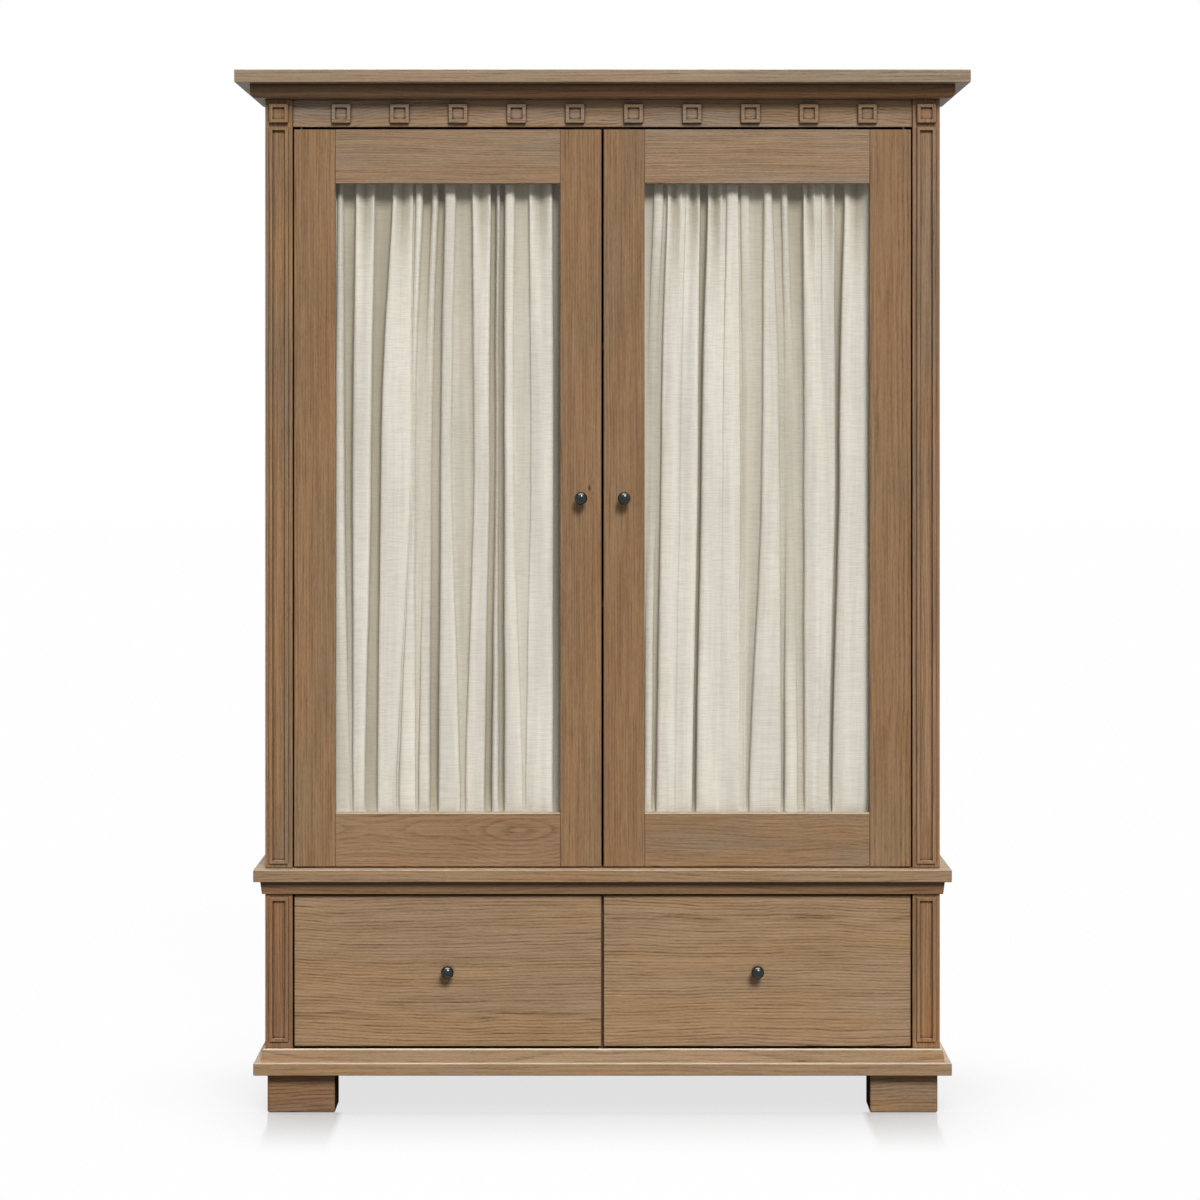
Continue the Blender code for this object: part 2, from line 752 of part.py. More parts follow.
# One door rail: a tenon at each end, and a rebate along its glass edge
def make_rail(name, side, low, height, glass_above, carrier):
    near = stile_width + joint_gap
    far = door_width - stile_width - joint_gap
    rail = make_board(name, (door_x(side, near), door_x(side, far)), (face_y, door_back_y),
                      (low, low + height), carrier=carrier)
    tenon_z = tenon_span(low, height, -1 if glass_above else 1)
    middle_y = (face_y + door_back_y) / 2
    tenon_y = (middle_y - tenon_thickness / 2, middle_y + tenon_thickness / 2)
    tenon_x = (door_x(side, stile_width - tenon_length),
               door_x(side, door_width - stile_width + tenon_length))
    combine(rail, make_box_tool(name + "_tenons", [(tenon_x, tenon_y, tenon_z)], carrier), 'UNION')
    edge = low + height if glass_above else low
    outward = 1 if glass_above else -1
    rebate_z = (edge - outward * glass_rebate, edge + outward * cut_overrun)
    rebate_x = (door_x(side, near - cut_overrun), door_x(side, far + cut_overrun))
    rebate_y = (face_y + glass_lip, door_back_y + cut_overrun)
    combine(rail, make_box_tool(name + "_rebate", [(rebate_x, rebate_y, rebate_z)], carrier), 'DIFFERENCE')


def make_pane(name, side, carrier):
    near = stile_width - glass_rebate + joint_gap
    x_span = (door_x(side, near), door_x(side, door_width - near))
    front = face_y + glass_lip + joint_gap
    z_span = (opening_low - glass_rebate + joint_gap, opening_top + glass_rebate - joint_gap)
    make_board(name, x_span, (front, front + glass_thickness), z_span, "glass", 0.0, carrier)


# The mitred beads that hold the glass, glued up as one frame, with an arris along the sight edge
def make_bead_frame(name, side, carrier):
    outer = glass_rebate - joint_gap
    front = bead_front_y
    outline = [(0.0, front), (0.0, door_back_y - bead_arris), (bead_arris, door_back_y),
               (outer, door_back_y), (outer, front)]
    corners = ((stile_width, opening_low, -1, -1), (door_width - stile_width, opening_low, 1, -1),
               (door_width - stile_width, opening_top, 1, 1), (stile_width, opening_top, -1, 1))
    form = bmesh.new()
    rings = []
    for distance, level, away_x, away_z in corners:
        ring = []
        for out, y in outline:
            ring.append(form.verts.new((door_x(side, distance + away_x * out), y, level + away_z * out)))
        rings.append(ring)
    for index, near in enumerate(rings):
        far = rings[(index + 1) % len(rings)]
        for place in range(len(outline)):
            following = (place + 1) % len(outline)
            form.faces.new((near[place], near[following], far[following], far[place]))
    make_piece(name, form, "oak", carrier)


def make_rod(name, side, level, carrier):
    near = bracket_near - rod_seat_depth
    length = door_width - 2 * near
    base = (door_x(side, near), rod_y, level)
    form = bmesh.new()
    add_turned(form, [(rod_radius, 0.0), (rod_radius, length)], base, (-side, 0, 0), round_sides)
    make_piece(name, form, "steel", carrier, smooth=True)


# Height of the folds at a share of the width, eased between the chosen fold points
def fold_height(fold_shares, share):
    for (near, near_height), (far, far_height) in zip(fold_shares, fold_shares[1:]):
        if share <= far:
            along = (share - near) / (far - near)
            return near_height + (far_height - near_height) * (1 - math.cos(math.pi * along)) / 2
    return fold_shares[-1][1]


# The curtain's levels with its thickness and fold depth there: full folds between gathered ends
def curtain_rows(low, high):
    pocket = 2 * curtain_heading
    ends = [(0.0, curtain_pocket, curtain_gather_depth), (pocket, curtain_pocket, curtain_gather_depth),
            (pocket + curtain_neck, curtain_cloth, curtain_fold_depth)]
    rows = [(low + height, thickness, depth) for height, thickness, depth in ends]
    fall_low = rows[-1][0]
    fall_high = high - pocket - curtain_neck
    for step in range(1, curtain_fall_steps):
        level = fall_low + (fall_high - fall_low) * step / curtain_fall_steps
        rows.append((level, curtain_cloth, curtain_fold_depth))
    rows += [(high - height, thickness, depth) for height, thickness, depth in reversed(ends)]
    return rows


# A curtain gathered on its two rods, with its main folds, as one closed sheet with rod pockets
def make_curtain(name, side, fold_shares, carrier):
    low = rod_levels[0] - curtain_heading
    high = rod_levels[1] + curtain_heading
    near = stile_width - curtain_overlap
    edges = sorted((door_x(side, near), door_x(side, door_width - near)))
    shares = []
    for (first, first_height), (second, second_height) in zip(fold_shares, fold_shares[1:]):
        for step in range(curtain_fold_steps):
            shares.append(first + (second - first) * step / curtain_fold_steps)
    shares.append(fold_shares[-1][0])
    form = bmesh.new()
    fronts = []
    backs = []
    for level, thickness, depth in curtain_rows(low, high):
        fall = (level - low) / (high - low)
        front_row = []
        back_row = []
        for share in shares:
            drift = curtain_drift_share * math.sin(math.pi * share) * math.sin(2 * math.pi * fall)
            x = edges[0] + (edges[1] - edges[0]) * (share + drift)
            middle = rod_y - depth * fold_height(fold_shares, share)
            front_row.append(form.verts.new((x, middle - thickness / 2, level)))
            back_row.append(form.verts.new((x, middle + thickness / 2, level)))
        fronts.append(front_row)
        backs.append(back_row)
    rings = [front + list(reversed(back)) for front, back in zip(fronts, backs)]
    close_sheet(form, rings, len(shares))
    curtain = make_piece(name, form, "linen", carrier, smooth=True)
    bores = []
    for level in rod_levels:
        base = (edges[0] - cut_overrun, rod_y, level)
        radius = rod_radius + rod_clearance
        bores.append((base, [(radius, 0.0), (radius, edges[1] - edges[0] + 2 * cut_overrun)]))
    combine(curtain, make_round_tool(name + "_pockets", bores, (1, 0, 0), carrier), 'DIFFERENCE')


# Walls of a sheet whose rings run along the front and back again along the back
def close_sheet(form, rings, columns):
    for near, far in zip(rings, rings[1:]):
        for index in range(len(near)):
            following = (index + 1) % len(near)
            form.faces.new((near[index], near[following], far[following], far[index]))
    for ring in (rings[0], rings[-1]):
        for index in range(columns - 1):
            form.faces.new((ring[index], ring[index + 1], ring[-index - 2], ring[-index - 1]))


# A round knob on a short stem with a small foot
def make_knob(name, x, z, carrier):
    length = knob_head_radius * knob_head_length_share
    head_middle = knob_foot_height + knob_stem_length + length * knob_head_seat_share
    outline = [(0.0, 0.0), (knob_foot_radius, 0.0), (knob_foot_radius, knob_foot_height),
               (knob_stem_radius, knob_foot_height)]
    start = math.asin(knob_stem_radius / knob_head_radius)
    for step in range(knob_head_steps):
        angle = start + (math.pi - start) * step / knob_head_steps
        outline.append((knob_head_radius * math.sin(angle), head_middle - length * math.cos(angle)))
    outline.append((0.0, head_middle + length))
    form = bmesh.new()
    add_turned(form, outline, (x, face_y - joint_gap, z), (0, -1, 0), knob_sides)
    make_piece(name, form, "dark_metal", carrier, smooth=True)


def make_door(side, side_name, fold_shares):
    prefix = side_name + "_door_"
    pivot = make_empty(prefix + "pivot", (door_x(side, pin_inset), pin_y, door_low))
    make_stile(prefix + "outer_stile", side, 0.0, stile_width, pivot, True)
    make_stile(prefix + "inner_stile", side, door_width - stile_width, door_width, pivot, False)
    make_rail(prefix + "bottom_rail", side, door_low, bottom_rail_height, True, pivot)
    make_rail(prefix + "top_rail", side, opening_top, top_rail_height, False, pivot)
    make_pane(prefix + "glass", side, pivot)
    make_bead_frame(prefix + "glazing_bead", side, pivot)
    for level, level_name in zip(rod_levels, ("bottom", "top")):
        make_rod(prefix + level_name + "_rod", side, level, pivot)
    make_curtain(prefix + "curtain", side, fold_shares, pivot)
    knob_z = door_low + (door_top - door_low) * door_knob_height_share
    make_knob(prefix + "knob", door_x(side, door_width - stile_width / 2), knob_z, pivot)
    make_hinge_pin(side_name + "_lower_hinge_pin", side, waist_board_top, 1, door_gap)
    make_hinge_pin(side_name + "_upper_hinge_pin", side, door_opening_top, -1, door_top_gap)


# Where each dovetail sits up the height of the drawer side
def tail_levels():
    pitch = (box_top - box_low) / tail_count
    return [(box_low + pitch * (index + 0.5), pitch) for index in range(tail_count)]


# A drawer side with dovetails at its front end, grooved for the runner and for the bottom
def make_drawer_side(name, outer_x, inner_x, carrier):
    root_y = drawer_front_back_y + joint_gap
    tip_y = drawer_front_back_y - tail_length
    outline = [(drawer_rear_y, box_top), (drawer_rear_y, box_low), (root_y, box_low)]
    for middle, pitch in tail_levels():
        outline += [(root_y, middle - pitch * tail_root_share), (tip_y, middle - pitch * tail_end_share),
                    (tip_y, middle + pitch * tail_end_share), (root_y, middle + pitch * tail_root_share)]
    outline.append((root_y, box_top))
    board = make_prism(name, outline, "X", (inner_x, outer_x), "inner_oak", 0.0, carrier)
    outward = 1 if outer_x > inner_x else -1
    runner_cut = ((outer_x - outward * groove_depth, outer_x + outward * cut_overrun),
                  (runner_front_y - joint_gap, drawer_rear_y + cut_overrun),
                  (runner_low - runner_slack, runner_top + joint_gap))
    bottom_cut = ((inner_x - outward * cut_overrun, inner_x + outward * (bottom_groove_depth + joint_gap)),
                  (tip_y - cut_overrun, drawer_rear_y + cut_overrun),
                  (bottom_low - joint_gap, bottom_low + drawer_bottom_thickness + joint_gap))
    combine(board, make_box_tool(name + "_grooves", [runner_cut, bottom_cut], carrier), 'DIFFERENCE')


# The sockets that the tails slide into, open towards the end of the drawer front
def add_tail_sockets(form, inner_x, end_x):
    root_y = drawer_front_back_y + cut_overrun
    tip_y = drawer_front_back_y - tail_length - joint_gap
    for middle, pitch in tail_levels():
        spread = (tail_end_share - tail_root_share) * pitch / tail_length
        root = pitch * tail_root_share + 2 * joint_gap - spread * cut_overrun
        tip = pitch * tail_end_share + 2 * joint_gap
        outline = [(root_y, middle - root), (tip_y, middle - tip),
                   (tip_y, middle + tip), (root_y, middle + root)]
        add_prism(form, outline, "X", (inner_x, end_x))


def make_drawer_front(name, side, carrier):
    near_x = side * door_meeting_gap / 2
    far_x = side * (opening_half - drawer_gap)
    front = make_board(name, (near_x, far_x), (face_y, drawer_front_back_y), (drawer_low, drawer_top),
                       ease=board_ease, carrier=carrier)
    sockets = bmesh.new()
    inner_wall = side * (box_inner_x + drawer_side_thickness + joint_gap)
    outer_wall = side * (box_outer_x - drawer_side_thickness - joint_gap)
    add_tail_sockets(sockets, inner_wall, near_x - side * cut_overrun)
    add_tail_sockets(sockets, outer_wall, far_x + side * cut_overrun)
    combine(front, make_piece(name + "_sockets", sockets, "oak", carrier), 'DIFFERENCE')
    groove = ((side * (bottom_near_x - joint_gap), side * (bottom_far_x + joint_gap)),
              (drawer_front_back_y - bottom_groove_depth - joint_gap, drawer_front_back_y + cut_overrun),
              (bottom_low - joint_gap, bottom_low + drawer_bottom_thickness + joint_gap))
    combine(front, make_box_tool(name + "_groove", [groove], carrier), 'DIFFERENCE')


def make_drawer(side, side_name):
    prefix = side_name + "_drawer_"
    middle_x = side * (opening_half - drawer_gap + door_meeting_gap / 2) / 2
    middle_z = (drawer_low + drawer_top) / 2
    slide = make_empty(prefix + "slide", (middle_x, face_y, middle_z))
    make_drawer_front(prefix + "front", side, slide)
    inner_wall = box_inner_x + drawer_side_thickness
    outer_wall = box_outer_x - drawer_side_thickness
    make_drawer_side(prefix + "outer_side", side * box_outer_x, side * outer_wall, slide)
    make_drawer_side(prefix + "inner_side", side * box_inner_x, side * inner_wall, slide)
    wall_span = (side * (inner_wall + joint_gap), side * (outer_wall - joint_gap))
    back_low = bottom_low + drawer_bottom_thickness + 2 * joint_gap
    make_board(prefix + "back", wall_span, (drawer_rear_y - drawer_back_thickness, drawer_rear_y),
               (back_low, box_top - drawer_back_top_margin), "inner_oak", edge_ease, slide)
    bottom_y = (drawer_front_back_y - bottom_groove_depth, drawer_rear_y)
    make_board(prefix + "bottom", (side * bottom_near_x, side * bottom_far_x), bottom_y,
               (bottom_low, bottom_low + drawer_bottom_thickness), "inner_oak", 0.0, slide)
    make_knob(prefix + "knob", middle_x, middle_z, slide)


def make_cabinet():
    clear_scene()
    make_feet()
    make_plinth_board()
    make_plinth_moulding()
    make_waist_board()
    make_waist_moulding()
    make_frieze()
    make_cornice_moulding()
    make_top_board()
    make_back_panel()
    make_drawer_rail()
    make_divider()
    make_shelves()
    for (side, side_name), fold_shares in zip(side_names, (left_fold_shares, right_fold_shares)):
        make_lower_post(side, side_name)
        make_lower_side(side, side_name)
        make_upper_post(side, side_name)
        make_upper_side(side, side_name)
        make_door(side, side_name, fold_shares)
        make_drawer(side, side_name)


make_cabinet()
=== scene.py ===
import math
import random

import bmesh
import bpy
from mathutils import Euler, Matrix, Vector


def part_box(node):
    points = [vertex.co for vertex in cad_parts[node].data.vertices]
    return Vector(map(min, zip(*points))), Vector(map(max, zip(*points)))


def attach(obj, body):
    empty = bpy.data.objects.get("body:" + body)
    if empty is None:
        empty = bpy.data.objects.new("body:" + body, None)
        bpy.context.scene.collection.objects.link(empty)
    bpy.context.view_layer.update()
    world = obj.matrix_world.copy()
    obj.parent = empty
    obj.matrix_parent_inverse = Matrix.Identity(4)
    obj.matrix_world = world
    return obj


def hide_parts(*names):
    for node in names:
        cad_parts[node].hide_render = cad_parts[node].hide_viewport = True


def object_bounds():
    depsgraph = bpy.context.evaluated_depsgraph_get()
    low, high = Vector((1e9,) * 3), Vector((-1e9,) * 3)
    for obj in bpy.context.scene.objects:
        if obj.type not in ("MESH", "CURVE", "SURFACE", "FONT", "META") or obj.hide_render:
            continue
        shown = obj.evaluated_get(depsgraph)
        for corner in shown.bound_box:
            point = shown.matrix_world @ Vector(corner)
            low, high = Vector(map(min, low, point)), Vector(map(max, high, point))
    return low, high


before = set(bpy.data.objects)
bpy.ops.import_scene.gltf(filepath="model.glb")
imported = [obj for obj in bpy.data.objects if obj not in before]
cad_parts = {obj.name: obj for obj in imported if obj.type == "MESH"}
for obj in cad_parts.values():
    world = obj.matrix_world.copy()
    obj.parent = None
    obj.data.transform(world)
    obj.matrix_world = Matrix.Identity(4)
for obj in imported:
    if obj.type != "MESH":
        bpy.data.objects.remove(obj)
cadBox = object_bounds()

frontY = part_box("drawer_rail")[0].y      # the posts' front faces


# Node helpers. A setting with a capital is one of the node's inputs, and a value that is a socket is linked.

def feed(socket, value):
    if isinstance(value, bpy.types.NodeSocket):
        socket.id_data.links.new(value, socket)
    elif socket.type == 'RGBA':
        socket.default_value = (*value, 1.0)
    else:
        socket.default_value = value


def addNode(tree, kind, **settings):
    node = tree.nodes.new(kind)
    for name, value in settings.items():
        if name[0].isupper():
            feed(node.inputs[name.replace("_", " ")], value)
        else:
            setattr(node, name, value)
    return node


def treeOf(values):
    return next(value.id_data for value in values if isinstance(value, bpy.types.NodeSocket))


# A node beside the sockets among these values, which go to its inputs in order
def fedNode(kind, values, **settings):
    node = addNode(treeOf(values), kind, **settings)
    for socket, value in zip(node.inputs, values):
        feed(socket, value)
    return node.outputs


def maths(operation, *values, clamp=False):
    return fedNode("ShaderNodeMath", values, operation=operation, use_clamp=clamp)[0]


def plus(total, *others):
    for value in others:
        total = maths("ADD", total, value)
    return total


def times(total, *others):
    for value in others:
        total = maths("MULTIPLY", total, value)
    return total


def minus(first, second):
    return maths("SUBTRACT", first, second)


# Falls from 1 at nought to almost nothing at two
def bell(value):
    return maths("EXPONENT", times(maths("POWER", value, 2.0), -1.0))


def vectors(operation, *values):
    outputs = fedNode("ShaderNodeVectorMath", values, operation=operation)
    return outputs["Value" if operation == "LENGTH" else "Vector"]


def scaled(vector, factor):
    return addNode(vector.id_data, "ShaderNodeVectorMath", operation='SCALE', Vector=vector,
                   Scale=factor).outputs["Vector"]


def joined(*parts):
    return fedNode("ShaderNodeCombineXYZ", parts)[0]


def parted(vector):
    return fedNode("ShaderNodeSeparateXYZ", [vector])


def noise(place, stretch, detail=2.0, roughness=0.5):
    return addNode(place.id_data, "ShaderNodeTexNoise", Vector=vectors("MULTIPLY", place, stretch),
                   Scale=1.0, Detail=detail, Roughness=roughness).outputs[0]


# Noise about nought
def swing(place, stretch, detail=1.0):
    return minus(noise(place, stretch, detail), 0.5)


def chance(seed):
    return addNode(seed.id_data, "ShaderNodeTexWhiteNoise", noise_dimensions='1D', W=seed).outputs


def ramp(value, low, high, fromValue=0.0, toValue=1.0):
    return fedNode("ShaderNodeMapRange", (value, low, high, fromValue, toValue),
                   interpolation_type='SMOOTHSTEP')[0]


def mixColours(share, first, second, blend='MIX'):
    node = addNode(treeOf((share, first, second)), "ShaderNodeMix", data_type='RGBA', blend_type=blend)
    for index, value in ((0, share), (6, first), (7, second)):
        feed(node.inputs[index], value)
    return node.outputs[2]


def tinted(colour, tint):
    return mixColours(1.0, colour, tint, 'MULTIPLY')


def dimmed(colour, gain):
    return tinted(colour, joined(gain, gain, gain))


def mixShaders(share, first, second):
    return fedNode("ShaderNodeMixShader", (share, first.outputs[0], second.outputs[0]))[0].node


def objectPlace(tree):
    return addNode(tree, "ShaderNodeTexCoord").outputs["Object"]


def normalParts(tree):
    return parted(addNode(tree, "ShaderNodeNewGeometry").outputs["Normal"])


# 1 for rays from the camera, and for those that a gloss or the glass sends on
def seenDirectly(tree):
    path = addNode(tree, "ShaderNodeLightPath").outputs
    seen = maths("MAXIMUM", path["Is Camera Ray"], path["Is Glossy Ray"])
    return maths("MAXIMUM", seen, path["Is Transmission Ray"])


def newMaterial(name):
    material = bpy.data.materials.new(name)
    material.use_nodes = True
    tree = material.node_tree
    tree.nodes.clear()
    return material, tree, addNode(tree, "ShaderNodeOutputMaterial").inputs["Surface"]


# A principled surface with its bumps
def principled(surface, height, depth, strength, **values):
    tree = surface.id_data
    bump = addNode(tree, "ShaderNodeBump", Height=height, Distance=depth, Strength=strength)
    shader = addNode(tree, "ShaderNodeBsdfPrincipled", Normal=bump.outputs[0], **values)
    feed(surface, shader.outputs[0])


def newGroup(name, kind, inputs, outputs):
    tree = bpy.data.node_groups.new(name, kind)
    for way, sockets in (('INPUT', inputs), ('OUTPUT', outputs)):
        for label, form in sockets:
            tree.interface.new_socket(label, in_out=way, socket_type="NodeSocket" + form)
    return tree, addNode(tree, "NodeGroupInput").outputs, addNode(tree, "NodeGroupOutput").inputs


def newObject(name, data):
    made = bpy.data.objects.new(name, data)
    bpy.context.scene.collection.objects.link(made)
    return made


def dress(mesh, material):
    mesh.materials.clear()
    mesh.materials.append(material)


# The glass that shows between a door's stiles: left edge and width
def sightOpening(side):
    outer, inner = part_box(side + "_door_outer_stile"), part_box(side + "_door_inner_stile")
    left, right = (outer, inner) if side == "left" else (inner, outer)
    return left[1].x, right[0].x - left[1].x


# Camera, level and square to the front, at eye height

camera = {
    "distance": 6.2,        # from the posts' front faces
    "eyeHeight": 1.439,
    "lens": 92.2,
    "sensor": 36.0,
    "shiftX": -0.0021,
    "shiftY": -0.1667,
}


def placeCamera(settings):
    data = bpy.data.cameras.new("frontView")
    data.lens = settings["lens"]
    data.sensor_width = settings["sensor"]
    data.shift_x = settings["shiftX"]
    data.shift_y = settings["shiftY"]
    holder = newObject("frontView", data)
    holder.location = (0.0, frontY - settings["distance"], settings["eyeHeight"])
    holder.rotation_euler = (math.radians(90), 0.0, 0.0)
    bpy.context.scene.camera = holder


placeCamera(camera)
print("camera placed")


# Studio: one broad soft sun from above the camera's right, an even sky, and a glowing white floor with a
# painted soft shadow round the cabinet and a faint real one

studio = {
    "sunTurn": 14,          # degrees to the right of the front
    "sunHeight": 40,        # degrees above the floor
    "sunStrength": 3.12,
    "sunSize": 20,          # degrees across, for the softness of the shadows
    "sky": 0.26,
    "ceiling": 13.0,        # a wide lamp overhead that only shows in polished metal
    "ceilingEdge": (0.80, 0.92),
    "floorSize": 60.0,
    "floorWhite": (0.90, 0.90, 0.90),
    "floorBounce": (0.24, 0.24, 0.24),
    "sunShadow": 0.03,      # how much of the floor's look is plain lit white
    "contactReach": 0.52,   # how far from the cabinet the painted shadow on the floor reaches
    "contactDepth": 0.44,
    "contactEase": 1.8,
    "contactMost": 0.235,
    "polish": 0.36,         # the floor's reflection at the feet
    "polishReach": 0.36,    # how far in front of them it is gone
    "polishRoughness": 0.12,
    "polishEdge": 0.02,
    "polishSide": 0.1,      # how far it fades out to each side of the cabinet's edge
    "midPolish": 0.2,       # the share of it that is left between the feet
}


def lightStudio(settings):
    lamp = bpy.data.lights.new("keySun", 'SUN')
    lamp.energy = settings["sunStrength"]
    lamp.angle = math.radians(settings["sunSize"])
    holder = newObject("keySun", lamp)
    tilt = math.radians(90 - settings["sunHeight"])
    holder.rotation_euler = (tilt, 0.0, math.radians(settings["sunTurn"]))
    world = bpy.data.worlds.new("evenSky")
    world.use_nodes = True
    tree = world.node_tree
    tree.nodes.clear()
    level = ramp(seenDirectly(tree), 0.0, 1.0, settings["sky"], 1.0)
    up = parted(addNode(tree, "ShaderNodeTexCoord").outputs["Generated"])[2]
    ceiling = times(ramp(up, *settings["ceilingEdge"], 0.0, settings["ceiling"]),
                    addNode(tree, "ShaderNodeLightPath").outputs["Is Glossy Ray"])
    sky = addNode(tree, "ShaderNodeBackground", Color=(1.0, 1.0, 1.0), Strength=plus(level, ceiling))
    addNode(tree, "ShaderNodeOutputWorld", Surface=sky.outputs[0])
    bpy.context.scene.world = world


def layFloor(settings):
    half = settings["floorSize"] / 2
    mesh = bpy.data.meshes.new("studioFloor")
    corners = [(-half, -half, 0.0), (half, -half, 0.0), (half, half, 0.0), (-half, half, 0.0)]
    mesh.from_pydata(corners, [], [(0, 1, 2, 3)])
    floor = newObject("studioFloor", mesh)
    material, tree, surface = newMaterial("paleFloor")
    # Painted shadow: the glowing white floor darkens where ambient occlusion finds the cabinet near
    near = addNode(tree, "ShaderNodeAmbientOcclusion", samples=8, Distance=settings["contactReach"])
    hidden = maths("POWER", minus(1.0, near.outputs["AO"]), settings["contactEase"])
    dark = maths("MINIMUM", times(hidden, settings["contactDepth"]), settings["contactMost"])
    glow = addNode(tree, "ShaderNodeEmission", Strength=minus(1.0, dark))
    lit = addNode(tree, "ShaderNodeBsdfDiffuse", Color=settings["floorWhite"])
    mirror = addNode(tree, "ShaderNodeBsdfGlossy", Roughness=settings["polishRoughness"])
    place = parted(objectPlace(tree))
    aside = maths("ABSOLUTE", place[0])
    inner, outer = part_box("front_right_foot")[0].x, cadBox[1][0]
    edge, side = settings["polishEdge"], settings["polishSide"]
    fade = times(ramp(place[1], frontY - settings["polishReach"], frontY, 0.0, settings["polish"]),
                 ramp(place[1], frontY, frontY + edge, 1.0, 0.0),
                 ramp(aside, inner - edge, inner, settings["midPolish"], 1.0),
                 ramp(aside, outer - side, outer + side, 1.0, 0.0))
    seen = mixShaders(fade, mixShaders(settings["sunShadow"], glow, lit), mirror)
    bounce = addNode(tree, "ShaderNodeBsdfDiffuse", Color=settings["floorBounce"])
    feed(surface, mixShaders(seenDirectly(tree), bounce, seen).outputs[0])
    mesh.materials.append(material)


lightStudio(studio)
layFloor(studio)
bpy.context.scene.view_settings.view_transform = 'Standard'
print("studio lit")


# Oak: rings round a pith that runs along the grain, with pores, streaks, checks, staves and a knot

oakInputs = (
    ("Place", "Vector"),            # metres, the grain along Z and the pith at the middle
    ("Stave Width", "Float"), ("Ring Width", "Float"), ("Wander", "Float"), ("Pace", "Float"),
    ("Ripple", "Float"), ("Ring Depth", "Float"), ("Streak Depth", "Float"), ("Checks", "Float"),
    ("Stain Place", "Float"),       # across the board, where a dark streak wanders along it
    ("Knot", "Vector"), ("Knot Size", "Float"), ("Warm", "Color"), ("Grey", "Color"), ("Dark", "Color"),
)


